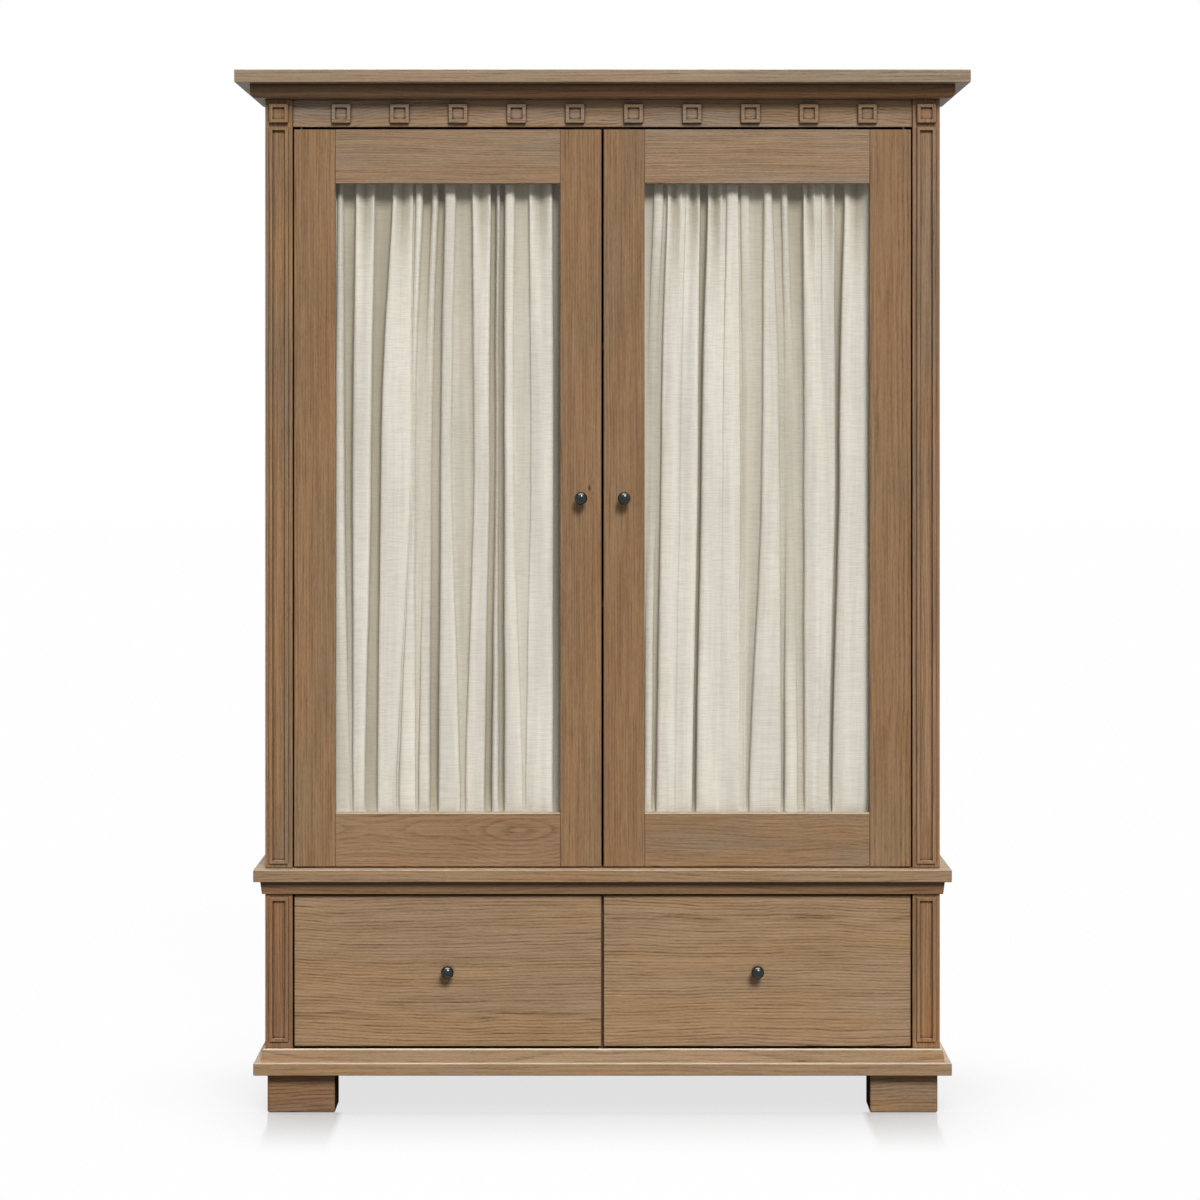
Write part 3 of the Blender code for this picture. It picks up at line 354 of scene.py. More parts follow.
def buildOakFigure():
    tree, given, result = newGroup("oakFigure", "ShaderNodeTree", oakInputs,
                                   (("Colour", "Color"), ("Roughness", "Float"), ("Height", "Float")))

    # Staves: each has its own piece of the tree and its own tone
    count = plus(maths("DIVIDE", parted(given["Place"])[1], given["Stave Width"]), 0.5)
    stave = chance(maths("FLOOR", count))
    single = maths("LESS_THAN", given["Stave Width"], 1.0)
    shift = vectors("MULTIPLY", vectors("SUBTRACT", stave["Color"], (0.5, 0.5, 0.5)), (0.16, 0.10, 3.0))
    place = vectors("ADD", given["Place"], scaled(shift, single))
    seam = maths("LESS_THAN", times(maths("PINGPONG", count, 0.5), given["Stave Width"]), 0.0003)

    # Rings, pushed aside by a knot
    knotReach = vectors("MULTIPLY", vectors("SUBTRACT", given["Place"], given["Knot"]), (1.0, 1.0, 0.4))
    knotShare = maths("DIVIDE", vectors("LENGTH", knotReach), given["Knot Size"])
    push = times(bell(knotShare), times(given["Knot Size"], 1.5))
    across, behind = parted(place)[:2]
    slowPlace = vectors("MULTIPLY", place, joined(1.0, 1.0, given["Pace"]))
    radius = plus(vectors("LENGTH", joined(across, behind, 0.0)), push,
                  times(swing(slowPlace, (1.9, 1.9, 1.0)), given["Wander"]),
                  times(swing(place, (9.0, 9.0, 4.5)), 0.010),
                  times(swing(place, (24.0, 24.0, 15.0)), given["Ripple"]))
    rings = maths("DIVIDE", radius, given["Ring Width"])
    share = maths("FRACT", rings)
    rise = maths("MULTIPLY", share, 6.0, clamp=True)
    fall = maths("POWER", minus(1.0, share), 2.4)
    ringTone = ramp(chance(maths("FLOOR", rings))["Value"], 0.0, 1.0, 0.55, 1.0)
    broken = ramp(noise(place, (80.0, 80.0, 11.0)), 0.36, 0.58, 0.50, 1.0)
    line = times(maths("MINIMUM", rise, fall), ringTone, broken)

    # Fine grain along the board: streaks, rows of pores, short flecks and drying checks
    streaks = ramp(noise(place, (240.0, 240.0, 4.5), 3.0, 0.65), 0.36, 0.64)
    flecks = times(ramp(noise(place, (420.0, 420.0, 26.0)), 0.48, 0.62), ramp(line, 0.0, 0.4, 0.30, 1.0))
    pores = times(ramp(noise(place, (1250.0, 1250.0, 42.0), 1.0), 0.56, 0.70),
                  ramp(line, 0.0, 0.6, 0.3, 1.0))
    checks = times(ramp(noise(place, (210.0, 210.0, 8.0)), 0.60, 0.66),
                   ramp(noise(place, (8.0, 8.0, 1.1)), 0.48, 0.64), given["Checks"])

    # A dark streak of stain that strays as it goes along the board
    stray = swing(vectors("MULTIPLY", place, (0.0, 0.0, 1.0)), (1.0, 1.0, 5.0), 2.0)
    fromStain = minus(minus(across, given["Stain Place"]), times(stray, 0.07))
    wisps = ramp(noise(place, (130.0, 130.0, 9.0), 3.0), 0.42, 0.62)
    stained = times(bell(maths("DIVIDE", fromStain, 0.009)), times(wisps, 0.42))

    # Light and dark on the two tones of the wood
    shade = plus(times(minus(line, 0.22), given["Ring Depth"]),
                 times(minus(streaks, 0.5), given["Streak Depth"]), times(flecks, 0.20), stained)
    slowTone = ramp(noise(place, (24.0, 24.0, 3.5)), 0.3, 0.7, -0.05, 0.05)
    speck = ramp(noise(place, (480.0, 480.0, 110.0), 1.0), 0.3, 0.7, -0.07, 0.07)
    staveTone = ramp(times(stave["Value"], single), 0.0, 1.0, 1.0, 0.84)
    light = times(plus(minus(1.02, shade), plus(slowTone, speck)), staveTone)
    tint = ramp(noise(place, (13.0, 13.0, 2.0), 3.0), 0.34, 0.66)
    colour = tinted(mixColours(tint, given["Warm"], given["Grey"]),
                    joined(maths("POWER", light, 0.85), light, maths("POWER", light, 1.2)))
    core = ramp(knotShare, 0.12, 0.42, 1.0, 0.0)
    dark = maths("MAXIMUM", maths("MAXIMUM", times(pores, 0.45), checks),
                 maths("MAXIMUM", times(seam, 0.6), core))
    feed(result["Colour"], mixColours(dark, colour, given["Dark"]))
    feed(result["Roughness"], ramp(plus(streaks, pores), 0.0, 2.0, 0.50, 0.72))
    dips = plus(plus(times(pores, 0.6), times(line, 0.25)), plus(checks, times(streaks, 0.15)))
    feed(result["Height"], minus(1.0, plus(dips, seam)))
    return tree


oakFigure = buildOakFigure()

# How a board was sawn and stained: grain is the way it runs, pith is how far off the heart of the tree lies
# across the face and behind it, and the tones are linear
oakUsual = {"grain": "X", "pith": (0.10, 0.05), "rings": 0.0055, "wander": 0.05, "pace": 1.4,
            "ripple": 0.003, "streaks": 0.30, "checks": 0.1, "stave": 20.0, "stain": 9.0, "shine": 0.25,
            "wornAndLit": 0.0, "cornerShadeReach": 0.0, "overhangShadeReach": 0.0, "endFaceStainAndShade": 0.0, "knotSize": 0.0001}
oakKinds = {
    "stile": {"grain": "Z", "pith": (0.1, 0.06), "rings": 0.0052, "wander": 0.03, "pace": 0.8,
              "depth": 0.38, "streaks": 0.34, "checks": 0.05, "warm": (0.252, 0.140, 0.065),
              "grey": (0.232, 0.140, 0.072)},
    "top rail": {"pith": (0.14, 0.05), "rings": 0.005, "pace": 1.6, "depth": 0.36, "checks": 0.3,
                 "warm": (0.283, 0.176, 0.096), "grey": (0.262, 0.184, 0.118)},
    "low rail": {"pith": (-0.02, 0.04), "rings": 0.0066, "wander": 0.09, "pace": 2.8, "depth": 0.4,
                 "streaks": 0.26, "wornAndLit": 1.8, "warm": (0.282, 0.152, 0.071),
                 "grey": (0.255, 0.154, 0.083)},
    "frieze": {"pith": (0.05, 0.04), "rings": 0.005, "wander": 0.07, "pace": 3.0, "ripple": 0.01,
               "depth": 0.5, "checks": 0.7, "cornerShadeReach": 0.007, "warm": (0.296, 0.182, 0.097),
               "grey": (0.265, 0.198, 0.142)},
    "post": {"grain": "Z", "pith": (0.12, 0.05), "rings": 0.0052, "wander": 0.04, "pace": 1.0,
             "depth": 0.42, "streaks": 0.4, "cornerShadeReach": 0.007, "wornAndLit": 1.0, "warm": (0.284, 0.158, 0.072),
             "grey": (0.241, 0.154, 0.084)},
    "drawer": {"pith": (0.215, 0.05), "rings": 0.0064, "wander": 0.06, "pace": 1.6, "ripple": 0.006,
               "depth": 1.0, "streaks": 0.26, "cornerShadeReach": 0.016, "warm": (0.296, 0.180, 0.089),
               "grey": (0.274, 0.174, 0.098), "overhangShadeReach": 0.006},
    "edge": {"pith": (0.1, 0.08), "depth": 0.4, "wornAndLit": 0.46, "warm": (0.312, 0.184, 0.088),
             "grey": (0.284, 0.184, 0.104)},
    "moulding": {"depth": 0.36, "streaks": 0.26, "cornerShadeReach": 0.016, "warm": (0.276, 0.142, 0.066),
                 "grey": (0.238, 0.140, 0.072)},
    "top": {"pith": (0.3, 0.1), "wander": 0.04, "depth": 0.34, "checks": 0.0, "stave": 0.09,
            "warm": (0.308, 0.212, 0.128), "grey": (0.290, 0.214, 0.142)},
    "foot": {"pith": (0.035, 0.045), "rings": 0.0072, "wander": 0.09, "pace": 3.5, "depth": 0.66,
             "streaks": 0.28, "checks": 0.3, "endFaceStainAndShade": 0.2, "shine": 0.0, "warm": (0.255, 0.134, 0.065),
             "grey": (0.212, 0.129, 0.077)},
    "side": {"grain": "Z", "pith": (0.1, 0.09), "rings": 0.006, "wander": 0.06, "pace": 1.6, "depth": 0.42,
             "stave": 0.112, "warm": (0.262, 0.144, 0.064), "grey": (0.236, 0.145, 0.078)},
    "shelf": {"pith": (0.1, 0.09), "depth": 0.28, "streaks": 0.14, "checks": 0.0, "stave": 0.093,
              "warm": (0.330, 0.220, 0.128), "grey": (0.312, 0.218, 0.136)},
    "panel": {"grain": "Z turned", "pith": (0.1, 0.09), "rings": 0.006, "wander": 0.06, "depth": 0.3,
              "streaks": 0.14, "checks": 0.0, "stave": 0.134, "warm": (0.330, 0.220, 0.128),
              "grey": (0.308, 0.215, 0.136)},
    "box": {"grain": "Y", "pith": (0.12, 0.05), "depth": 0.26, "streaks": 0.14, "checks": 0.0,
            "warm": (0.340, 0.235, 0.142), "grey": (0.322, 0.230, 0.146)},
}
# The pores' dark brown, also the colour of the painted shade in gaps and under overhangs
oakPoresAndShade = (0.055, 0.032, 0.018)
oakFinish = {"bump": 0.0004, "bumpStrength": 0.6, "meetingReach": 0.0022, "shoulderReach": 0.0012}
grainTurns = {"X": (0, 90, 0), "Y": (90, 0, 0), "Z": (0, 0, 0), "Z turned": (0, 0, 90)}


# Which boards are of which kind
def boardKinds():
    kinds = {"top_board": "top", "cornice_moulding": "moulding", "frieze_board": "frieze",
             "waist_board": "edge", "waist_moulding": "moulding", "plinth_moulding": "moulding",
             "plinth_board": "edge", "drawer_rail": "moulding", "drawer_divider": "box",
             "back_panel": "panel", "shelf_1": "shelf", "shelf_2": "shelf"}
    for side in ("left", "right"):
        for level in ("upper", "lower"):
            kinds[level + "_" + side + "_post"] = "post"
            kinds[level + "_" + side + "_side"] = "side"
        for end in ("front", "rear"):
            kinds[end + "_" + side + "_foot"] = "foot"
        for part, kind in (("outer_stile", "stile"), ("inner_stile", "stile"), ("top_rail", "top rail"),
                           ("bottom_rail", "low rail"), ("glazing_bead", "top rail")):
            kinds[side + "_door_" + part] = kind
        for part, kind in (("front", "drawer"), ("outer_side", "box"), ("inner_side", "box"),
                           ("back", "shelf"), ("bottom", "shelf")):
            kinds[side + "_drawer_" + part] = kind
    return kinds


# What sets a board apart from others of its kind
boardOwn = {
    "left_door_inner_stile": {"knot": (0.017, 0.02), "knotSize": 0.009},
    "right_door_outer_stile": {"pith": (0.012, 0.05), "rings": 0.0075, "depth": 0.42},
    "front_left_foot": {"pith": (0.045, 0.045)},
    "front_right_foot": {"warm": (0.288, 0.167, 0.083), "grey": (0.239, 0.160, 0.099)},
    "left_drawer_front": {"stain": -0.088},
    "right_drawer_front": {"pith": (0.235, 0.06), "stain": 0.105},
    "right_door_bottom_rail": {"checks": 0.5, "pith": (0.10, 0.05), "warm": (0.254, 0.149, 0.074),
                               "grey": (0.219, 0.157, 0.103)},
    "upper_right_post": {"warm": (0.264, 0.145, 0.070), "grey": (0.224, 0.142, 0.081)},
    "lower_left_post": {"warm": (0.248, 0.118, 0.048), "grey": (0.210, 0.115, 0.056)},
    "lower_right_post": {"warm": (0.275, 0.137, 0.055), "grey": (0.233, 0.133, 0.064)},
    "waist_moulding": {"cornerShadeReach": 0.030, "overhangShadeReach": 0.018, "warm": (0.246, 0.124, 0.055),
                       "grey": (0.212, 0.122, 0.061)},
    "plinth_moulding": {"cornerShadeReach": 0.0, "wornAndLit": 0.9, "warm": (0.325, 0.192, 0.092),
                        "grey": (0.296, 0.192, 0.110)},
    "plinth_board": {"wornAndLit": 1.0},
}
wornAndLitOak = (0.60, 0.50, 0.385)


def oakPlace(tree, low, high, kind, grain, rng):
    turn = Euler([math.radians(angle) for angle in grainTurns[grain]])
    off = Vector((*kind["pith"], rng.uniform(-4.0, 4.0)))
    middle = turn.to_matrix() @ ((low + high) / 2)
    mapping = addNode(tree, "ShaderNodeMapping", Vector=objectPlace(tree), Location=off - middle,
                      Rotation=turn)
    return mapping.outputs[0], off


def oakNode(place, kind, tone, knot):
    return addNode(place.id_data, "ShaderNodeGroup", node_tree=oakFigure, Place=place,
                   Stave_Width=kind["stave"], Ring_Width=kind["rings"], Wander=kind["wander"],
                   Pace=kind["pace"], Ripple=kind["ripple"], Ring_Depth=kind["depth"],
                   Streak_Depth=kind["streaks"], Checks=kind["checks"],
                   Stain_Place=kind["pith"][0] + kind["stain"], Knot=knot, Knot_Size=kind["knotSize"],
                   Warm=[part * tone for part in kind["warm"]], Grey=[part * tone for part in kind["grey"]],
                   Dark=oakPoresAndShade).outputs


# A moulding that goes round the corner has its grain turned past the mitre
def pastMitre(tree):
    place = parted(objectPlace(tree))
    outX = minus(maths("ABSOLUTE", place[0]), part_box("upper_right_side")[1].x)
    return maths("GREATER_THAN", outX, minus(frontY, place[1]))


# Arrises and ledges that look up are paler: partly worn stain, partly painted light falling from above
def paleWhereWornAndLit(colour, wornAndLit):
    up = normalParts(colour.id_data)[2]
    return mixColours(times(ramp(up, 0.30, 0.60), ramp(up, 0.80, 0.98, 1.0, 0.55), wornAndLit), colour, wornAndLitOak)


# Painted shade: the colour darkens in inner corners and under overhangs, wherever ambient occlusion finds
# other surfaces within this reach
def shadeCorners(colour, reach):
    near = addNode(colour.id_data, "ShaderNodeAmbientOcclusion", samples=6, Distance=reach)
    return dimmed(colour, ramp(near.outputs["AO"], 0.40, 0.94, 0.16, 1.0))


# Darker on the faces that look along the grain: end grain takes more of the stain, and painted shade for the
# feet's sides under the cabinet
def endFaceStainAndShade(colour, left):
    return dimmed(colour, ramp(maths("ABSOLUTE", normalParts(colour.id_data)[0]), 0.5, 0.95, 1.0, left))


# Dark where a rail's shoulders meet the stiles
def shoulderShade(colour, door):
    left, width = sightOpening(door)
    across = parted(objectPlace(colour.id_data))[0]
    fromEdge = minus(width / 2, maths("ABSOLUTE", minus(across, left + width / 2)))
    return mixColours(ramp(fromEdge, 0.0, oakFinish["shoulderReach"], 0.45, 0.0), colour, oakPoresAndShade)


# Painted shade along an edge that meets another door, drawer or board, widening the dark gap between them
def edgeShade(colour, axis, edge, reach):
    fromEdge = maths("ABSOLUTE", minus(parted(objectPlace(colour.id_data))[axis], edge))
    return mixColours(ramp(fromEdge, 0.0002, reach, 0.85, 0.0), colour, oakPoresAndShade)


def oakMaterial(name, kindName):
    kind = {**oakUsual, **oakKinds[kindName], **boardOwn.get(name, {})}
    rng = random.Random(name)
    low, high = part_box(name)
    tone = rng.uniform(0.95, 1.05)
    material, tree, surface = newMaterial(name + "Oak")
    place, off = oakPlace(tree, low, high, kind, kind["grain"], rng)
    knot = (0.0, 0.0, 0.0)
    if "knot" in kind:                   # across and up from the board's middle, on its face
        knot = off + Vector((kind["knot"][0], (low.y - high.y) / 2, kind["knot"][1]))
    made = oakNode(place, kind, tone, knot)
    colour, height = made["Colour"], made["Height"]
    if kindName == "moulding" and high.y > 0:
        turned = oakNode(oakPlace(tree, low, high, kind, "Y", rng)[0], kind, tone, knot)
        mask = pastMitre(tree)
        colour = mixColours(mask, colour, turned["Colour"])
        height = ramp(mask, 0.0, 1.0, height, turned["Height"])
    # Painted light on faces that look up, together with worn stain
    if kind["wornAndLit"]:
        colour = paleWhereWornAndLit(colour, kind["wornAndLit"])
    # Painted shade in the corners and under overhangs
    if kind["cornerShadeReach"]:
        colour = shadeCorners(colour, kind["cornerShadeReach"])
    # Painted shade on the feet's sides, with the end grain's darker stain
    if kind["endFaceStainAndShade"]:
        colour = endFaceStainAndShade(colour, kind["endFaceStainAndShade"])
    if name.endswith("_rail") and "door" in name:
        colour = shoulderShade(colour, name.split("_")[0])
    # Painted shade in the gap where the two doors or the two drawers meet
    if name.endswith(("inner_stile", "drawer_front")):
        meeting = high.x if name.startswith("left") else low.x
        colour = edgeShade(colour, 0, meeting, oakFinish["meetingReach"])
    # Painted shadow along the top edge, where the board or moulding above overhangs it
    if kind["overhangShadeReach"]:
        colour = edgeShade(colour, 2, high.z, kind["overhangShadeReach"])
    principled(surface, height, oakFinish["bump"], oakFinish["bumpStrength"], Base_Color=colour,
               Roughness=made["Roughness"], Specular_IOR_Level=kind["shine"])
    return material


def finishOak():
    kinds = boardKinds()
    for name, kindName in kinds.items():
        dress(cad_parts[name].data, oakMaterial(name, kindName))
    return len(kinds)


print("oak boards finished:", finishOak())


# Glass, rods and hinge pins keep their CAD shapes

glassLook = {"tint": (0.984, 0.990, 0.985), "ior": 1.45, "polish": 0.02}


def glassMaterial(look):
    material, tree, surface = newMaterial("floatGlass")
    clear = addNode(tree, "ShaderNodeBsdfTransparent", Color=look["tint"])
    shine = addNode(tree, "ShaderNodeBsdfGlossy", Roughness=look["polish"])
    edge = addNode(tree, "ShaderNodeFresnel", IOR=look["ior"])
    outside = minus(1.0, addNode(tree, "ShaderNodeNewGeometry").outputs["Backfacing"])
    feed(surface, mixShaders(times(edge.outputs[0], outside), clear, shine).outputs[0])
    return material


def metalMaterial(name, base, roughness, along, coat=0.0):
    material, tree, surface = newMaterial(name)
    place = objectPlace(tree)
    brushed = noise(place, along, 3.0, 0.6)
    cloudy = noise(place, (90.0, 90.0, 90.0), 3.0)
    principled(surface, brushed, 0.00008, 0.5, Metallic=0.95, Coat_Weight=coat, Coat_Roughness=0.10,
               Base_Color=mixColours(cloudy, base, [part * 1.25 for part in base]),
               Roughness=ramp(times(brushed, cloudy), 0.1, 0.5, roughness * 0.75, roughness * 1.35))
    return material


def dressMetalAndGlass():
    glass = glassMaterial(glassLook)
    rodSteel = metalMaterial("drawnSteel", (0.50, 0.49, 0.47), 0.30, (60.0, 2500.0, 2500.0))
    pinSteel = metalMaterial("turnedSteel", (0.09, 0.08, 0.07), 0.50, (900.0, 900.0, 3000.0))
    for side in ("left", "right"):
        for part, material in (("_door_glass", glass), ("_door_top_rod", rodSteel),
                               ("_door_bottom_rod", rodSteel), ("_upper_hinge_pin", pinSteel),
                               ("_lower_hinge_pin", pinSteel)):
            dress(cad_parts[side + part].data, material)


dressMetalAndGlass()
print("glass and steel finished")


def newPiece(name, mesh, material):
    dress(mesh, material)
    return newObject(name, mesh)


# Knobs: turned heads on a stem and a small foot, finer than the CAD ones

knob = {
    "sides": 56,
    "headRadius": 0.0130,
    "headSteps": 22,
    "headLength": 0.0104,   # from the head's middle to its crown
    "stemRadius": 0.0043,
    "footRadius": 0.0075,
    "footHeight": 0.0025,
    "footRound": 0.0007,
    "fillet": 0.0016,
}


# Radius and height of the knob's outline, from the foot to the crown
def knobOutline(settings, height):
    foot, rise, rounding = settings["footRadius"], settings["footHeight"], settings["footRound"]
    points = [(0.0, 0.0), (foot, 0.0)]
    for step in range(4):
        angle = math.pi / 2 * step / 3
        points.append((foot - rounding * (1 - math.cos(angle)), rise - rounding * (1 - math.sin(angle))))
    stem, fillet = settings["stemRadius"], settings["fillet"]
    for step in range(5):
        angle = math.pi / 2 * step / 4
        points.append((stem + fillet * (1 - math.sin(angle)), rise + fillet * (1 - math.cos(angle))))
    head, crown, steps = settings["headRadius"], settings["headLength"], settings["headSteps"]
    start = math.asin(stem / head)
    for step in range(steps):
        angle = start + (math.pi - start) * step / steps
        points.append((head * math.sin(angle), height - crown - crown * math.cos(angle)))
    points.append((0.0, height))
    return points


def turnKnob(node, material):
    low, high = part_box(node)
    x, z = (low.x + high.x) / 2, (low.z + high.z) / 2
    form = bmesh.new()
    outline = knobOutline(knob, high.y - low.y)
    ring = [form.verts.new((x + radius, high.y - distance, z)) for radius, distance in outline]
    edges = [form.edges.new(pair) for pair in zip(ring, ring[1:])]
    bmesh.ops.spin(form, geom=ring + edges, cent=(x, 0.0, z), axis=(0.0, 1.0, 0.0),
                   angle=math.radians(360), steps=knob["sides"])
    bmesh.ops.remove_doubles(form, verts=form.verts, dist=0.00002)
    bmesh.ops.recalc_face_normals(form, faces=form.faces)
    mesh = bpy.data.meshes.new(node + "Turned")
    form.to_mesh(mesh)
    form.free()
    mesh.shade_smooth()
    mesh.set_sharp_from_angle(angle=math.radians(50))
    return newPiece(node + "Turned", mesh, material)


def makeKnobs():
    dark = metalMaterial("blackenedMetal", (0.012, 0.016, 0.013), 0.27, (500.0, 500.0, 500.0), coat=0.5)
    for side in ("left", "right"):
        for part in ("door", "drawer"):
            node = side + "_" + part + "_knob"
            piece = turnKnob(node, dark)
            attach(piece, side + "_" + part)
            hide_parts(node)


makeKnobs()
print("knobs turned")


# Curtains: gathered on a rod at each end. Each pleat is given by its left and right edges at the head, the
# middle and the foot of the glass, as shares of the width, and by how far it stands proud at each of them.
# The last three numbers are how deep the fold after it lies.

curtain = {
    "depth": 0.0250,        # from the proudest pleat to the deepest fold
    "forward": 0.0098,      # how far the proudest pleat stands in front of the rods
    "undercut": 0.0016,     # how far a fold runs in under the pleats beside it
    "rounding": 0.0034,
    "crown": 0.0016,
    "pinch": 1.0,           # how far the middle of a wide pleat is pressed in at the head
    "pinchWidth": 0.024,
    "overlap": 0.0072,      # how far the cloth runs past the glass on each side
    "pocket": 0.0115,       # half the height of the pocket round a rod
    "pocketDepth": 0.0052,
    "thickness": 0.0007,
    "rows": 9,              # between the heights where the folds are fully open
    "beside": 0.45,         # how far the cloth stands proud beside the stile
    "flank": 0.7,           # how far up a pleat's side its corner lies
    "foldDip": 0.05,
    "headEase": 2.2,        # the head's own folds open out within a hand's breadth
    "pinchEase": 6,
    "lip": 0.0015,          # how far the seam's turned edge stands past it
    "lay": 0.0008,          # how far in front of the rods the cloth lies beside a seam
    # Height over the lower seam, or drop from the upper one, and how far the folds are open there
    "lowOpening": ((0.0, 0.40), (0.006, 0.55), (0.016, 0.75), (0.034, 0.92), (0.070, 1.0)),
    "highOpening": ((0.045, 1.0), (0.024, 0.95), (0.010, 0.82), (0.0, 0.60)),
    "smoothing": 2,
    "gather": 0.0011,
    "gatherReach": 0.016,
    "sway": 0.0045,
    "headShade": 0.030,     # how far down from the seam the painted shade in the folds reaches
    "headShare": 0.94,
    "footShare": 0.08,
}
pleats = {
    "left": (
        ((0.005, 0.030), (-0.005, 0.036), (-0.005, 0.055), (0.8, 0.9, 0.55), (0.85, 1.00, 0.50)),
        ((0.085, 0.173), (0.070, 0.155), (0.072, 0.127), (1.0, 1.0, 0.95), (0.85, 1.00, 0.85)),
        ((0.250, 0.342), (0.195, 0.330), (0.180, 0.268), (0.9, 1.0, 0.90), (0.65, 0.15, 0.45)),
        ((0.352, 0.385), (0.334, 0.350), (0.280, 0.353), (0.9, 0.9, 1.00), (1.00, 0.40, 0.55)),
        ((0.424, 0.453), (0.392, 0.425), (0.366, 0.416), (0.7, 0.5, 0.95), (1.00, 0.75, 1.00)),
        ((0.482, 0.533), (0.464, 0.512), (0.453, 0.552), (1.0, 1.0, 1.00), (0.75, 0.50, 0.60)),
        ((0.604, 0.689), (0.613, 0.682), (0.576, 0.662), (1.0, 1.0, 0.90), (1.00, 0.85, 1.00)),
        ((0.712, 0.731), (0.706, 0.722), (0.692, 0.724), (0.75, 0.5, 0.95), (1.00, 0.95, 1.00)),
        ((0.751, 0.796), (0.747, 0.787), (0.747, 0.830), (1.0, 1.0, 1.00), (0.65, 0.30, 0.35)),
        ((0.858, 0.964), (0.867, 0.969), (0.845, 0.966), (1.0, 1.0, 0.95), (0.80, 0.96, 0.75)),
    ),
    "right": (
        ((0.040, 0.085), (0.012, 0.048), (0.000, 0.035), (0.9, 0.4, 0.95), (0.60, 0.60, 1.00)),
        ((0.102, 0.168), (0.074, 0.150), (0.052, 0.130), (1.0, 0.9, 0.90), (0.25, 0.05, 0.05)),
        ((0.185, 0.250), (0.160, 0.241), (0.140, 0.214), (0.9, 1.0, 0.95), (1.00, 1.00, 1.00)),
        ((0.283, 0.350), (0.254, 0.340), (0.228, 0.325), (0.9, 0.9, 1.00), (0.45, 0.05, 0.05)),
        ((0.368, 0.420), (0.350, 0.428), (0.335, 0.425), (1.0, 1.0, 0.95), (0.60, 0.60, 0.35)),
        ((0.430, 0.470), (0.440, 0.478), (0.433, 0.455), (0.7, 0.4, 0.60), (0.65, 0.50, 0.65)),
        ((0.532, 0.570), (0.527, 0.605), (0.468, 0.610), (1.0, 1.0, 1.00), (0.70, 0.60, 0.80)),
        ((0.610, 0.640), (0.632, 0.668), (0.624, 0.683), (0.8, 0.4, 0.80), (0.90, 0.60, 0.65)),
        ((0.708, 0.762), (0.712, 0.780), (0.713, 0.765), (1.0, 1.0, 1.00), (0.20, 0.10, 0.10)),
        ((0.790, 0.850), (0.792, 0.854), (0.776, 0.826), (1.0, 0.9, 0.95), (0.85, 1.00, 0.90)),
        ((0.892, 1.005), (0.869, 1.005), (0.838, 1.003), (1.0, 1.0, 1.00), (0.20, 0.20, 0.30)),
    ),
}


# A pleat's number at a height, from its numbers at the head, the middle and the foot
def atHeight(numbers, share):
    head, middle, foot = numbers
    headShare, footShare = curtain["headShare"], curtain["footShare"]
    if share > 0.5:
        return middle + (head - middle) * min(1.0, (share - 0.5) / (headShare - 0.5)) ** curtain["headEase"]
    return middle + (foot - middle) * min(1.0, (0.5 - share) / (0.5 - footShare))


# One row of the cloth seen from above, as places across and how far forward each lies
def pleatRow(table, width, share):
    edges = []
    for head, middle, foot, proud, sunk in table:
        left = atHeight((head[0], middle[0], foot[0]), share) * width
        right = atHeight((head[1], middle[1], foot[1]), share) * width
        edges.append((left, right, atHeight(proud, share), 1 - atHeight(sunk, share)))
    under, rounding, crown = curtain["undercut"], curtain["rounding"], curtain["crown"]
    nearHead = min(1.0, max(0.0, (share - 0.5) / (curtain["headShare"] - 0.5)))
    pinch = curtain["pinch"] * nearHead ** curtain["pinchEase"]
    flank, before = curtain["flank"], curtain["beside"]
    row = [(-curtain["overlap"], before)]
    for index, (left, right, proud, after) in enumerate(edges):
        low, high = min(before, proud), min(after, proud)
        pressed = pinch if right - left > curtain["pinchWidth"] else 0.0
        last = index + 1 == len(edges)
        following = width + curtain["overlap"] if last else edges[index + 1][0]
        row += [(left + under * (proud - low), low), (left, low + (proud - low) * flank),
                (left + rounding, proud), ((left + right) / 2, proud + crown / curtain["depth"] - pressed),
                (right - rounding, proud), (right, high + (proud - high) * flank),
                (right - under * (proud - high), high),
                ((right + following) / 2, high - curtain["foldDip"] * (1 - high))]
        if last:
            row.append((following, high))
        before = after
    return row


# Half round a rod, on its side away from the curtain's middle
def roundRod(rod, reach, deep):
    return [(rod + reach * out, 0.05, deep * behind)
            for out, behind in ((0, 1), (0.6, 0.6), (1, 0), (0.6, -0.6), (0, -1))]


# The cloth's own line, from the hem behind the bottom rod, round the rod, up the face and round the top rod:
# height, how far the folds are open there, and how far the cloth lies behind the rods
def clothLine(lowRod, highRod):
    half, deep, lip, lay = (curtain[key] for key in ("pocket", "pocketDepth", "lip", "lay"))
    seam, top = lowRod + half, highRod - half
    line = [(seam + lip, 0.42, 0.0010), (seam, 0.38, lay), (lowRod + half * 0.5, 0.08, deep * 0.8),
            *roundRod(lowRod, -half, deep), (lowRod + half * 0.5, 0.12, -deep * 0.8)]
    line += [(seam + rise, opened, -lay) for rise, opened in curtain["lowOpening"]]
    low, high = seam + curtain["lowOpening"][-1][0], top - curtain["highOpening"][0][0]
    for step in range(1, curtain["rows"]):
        line.append((low + (high - low) * step / curtain["rows"], 1.0, -lay))
    line += [(top - drop, opened, -lay) for drop, opened in curtain["highOpening"]]
    line += [(highRod - half * 0.5, 0.14, -deep * 0.8), *roundRod(highRod, half, -deep),
             (highRod - half * 0.5, 0.08, deep * 0.8), (top, 0.56, lay), (top - lip, 0.60, 0.0010)]
    return line


def middleOf(node):
    low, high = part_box(node)
    return (low + high) / 2


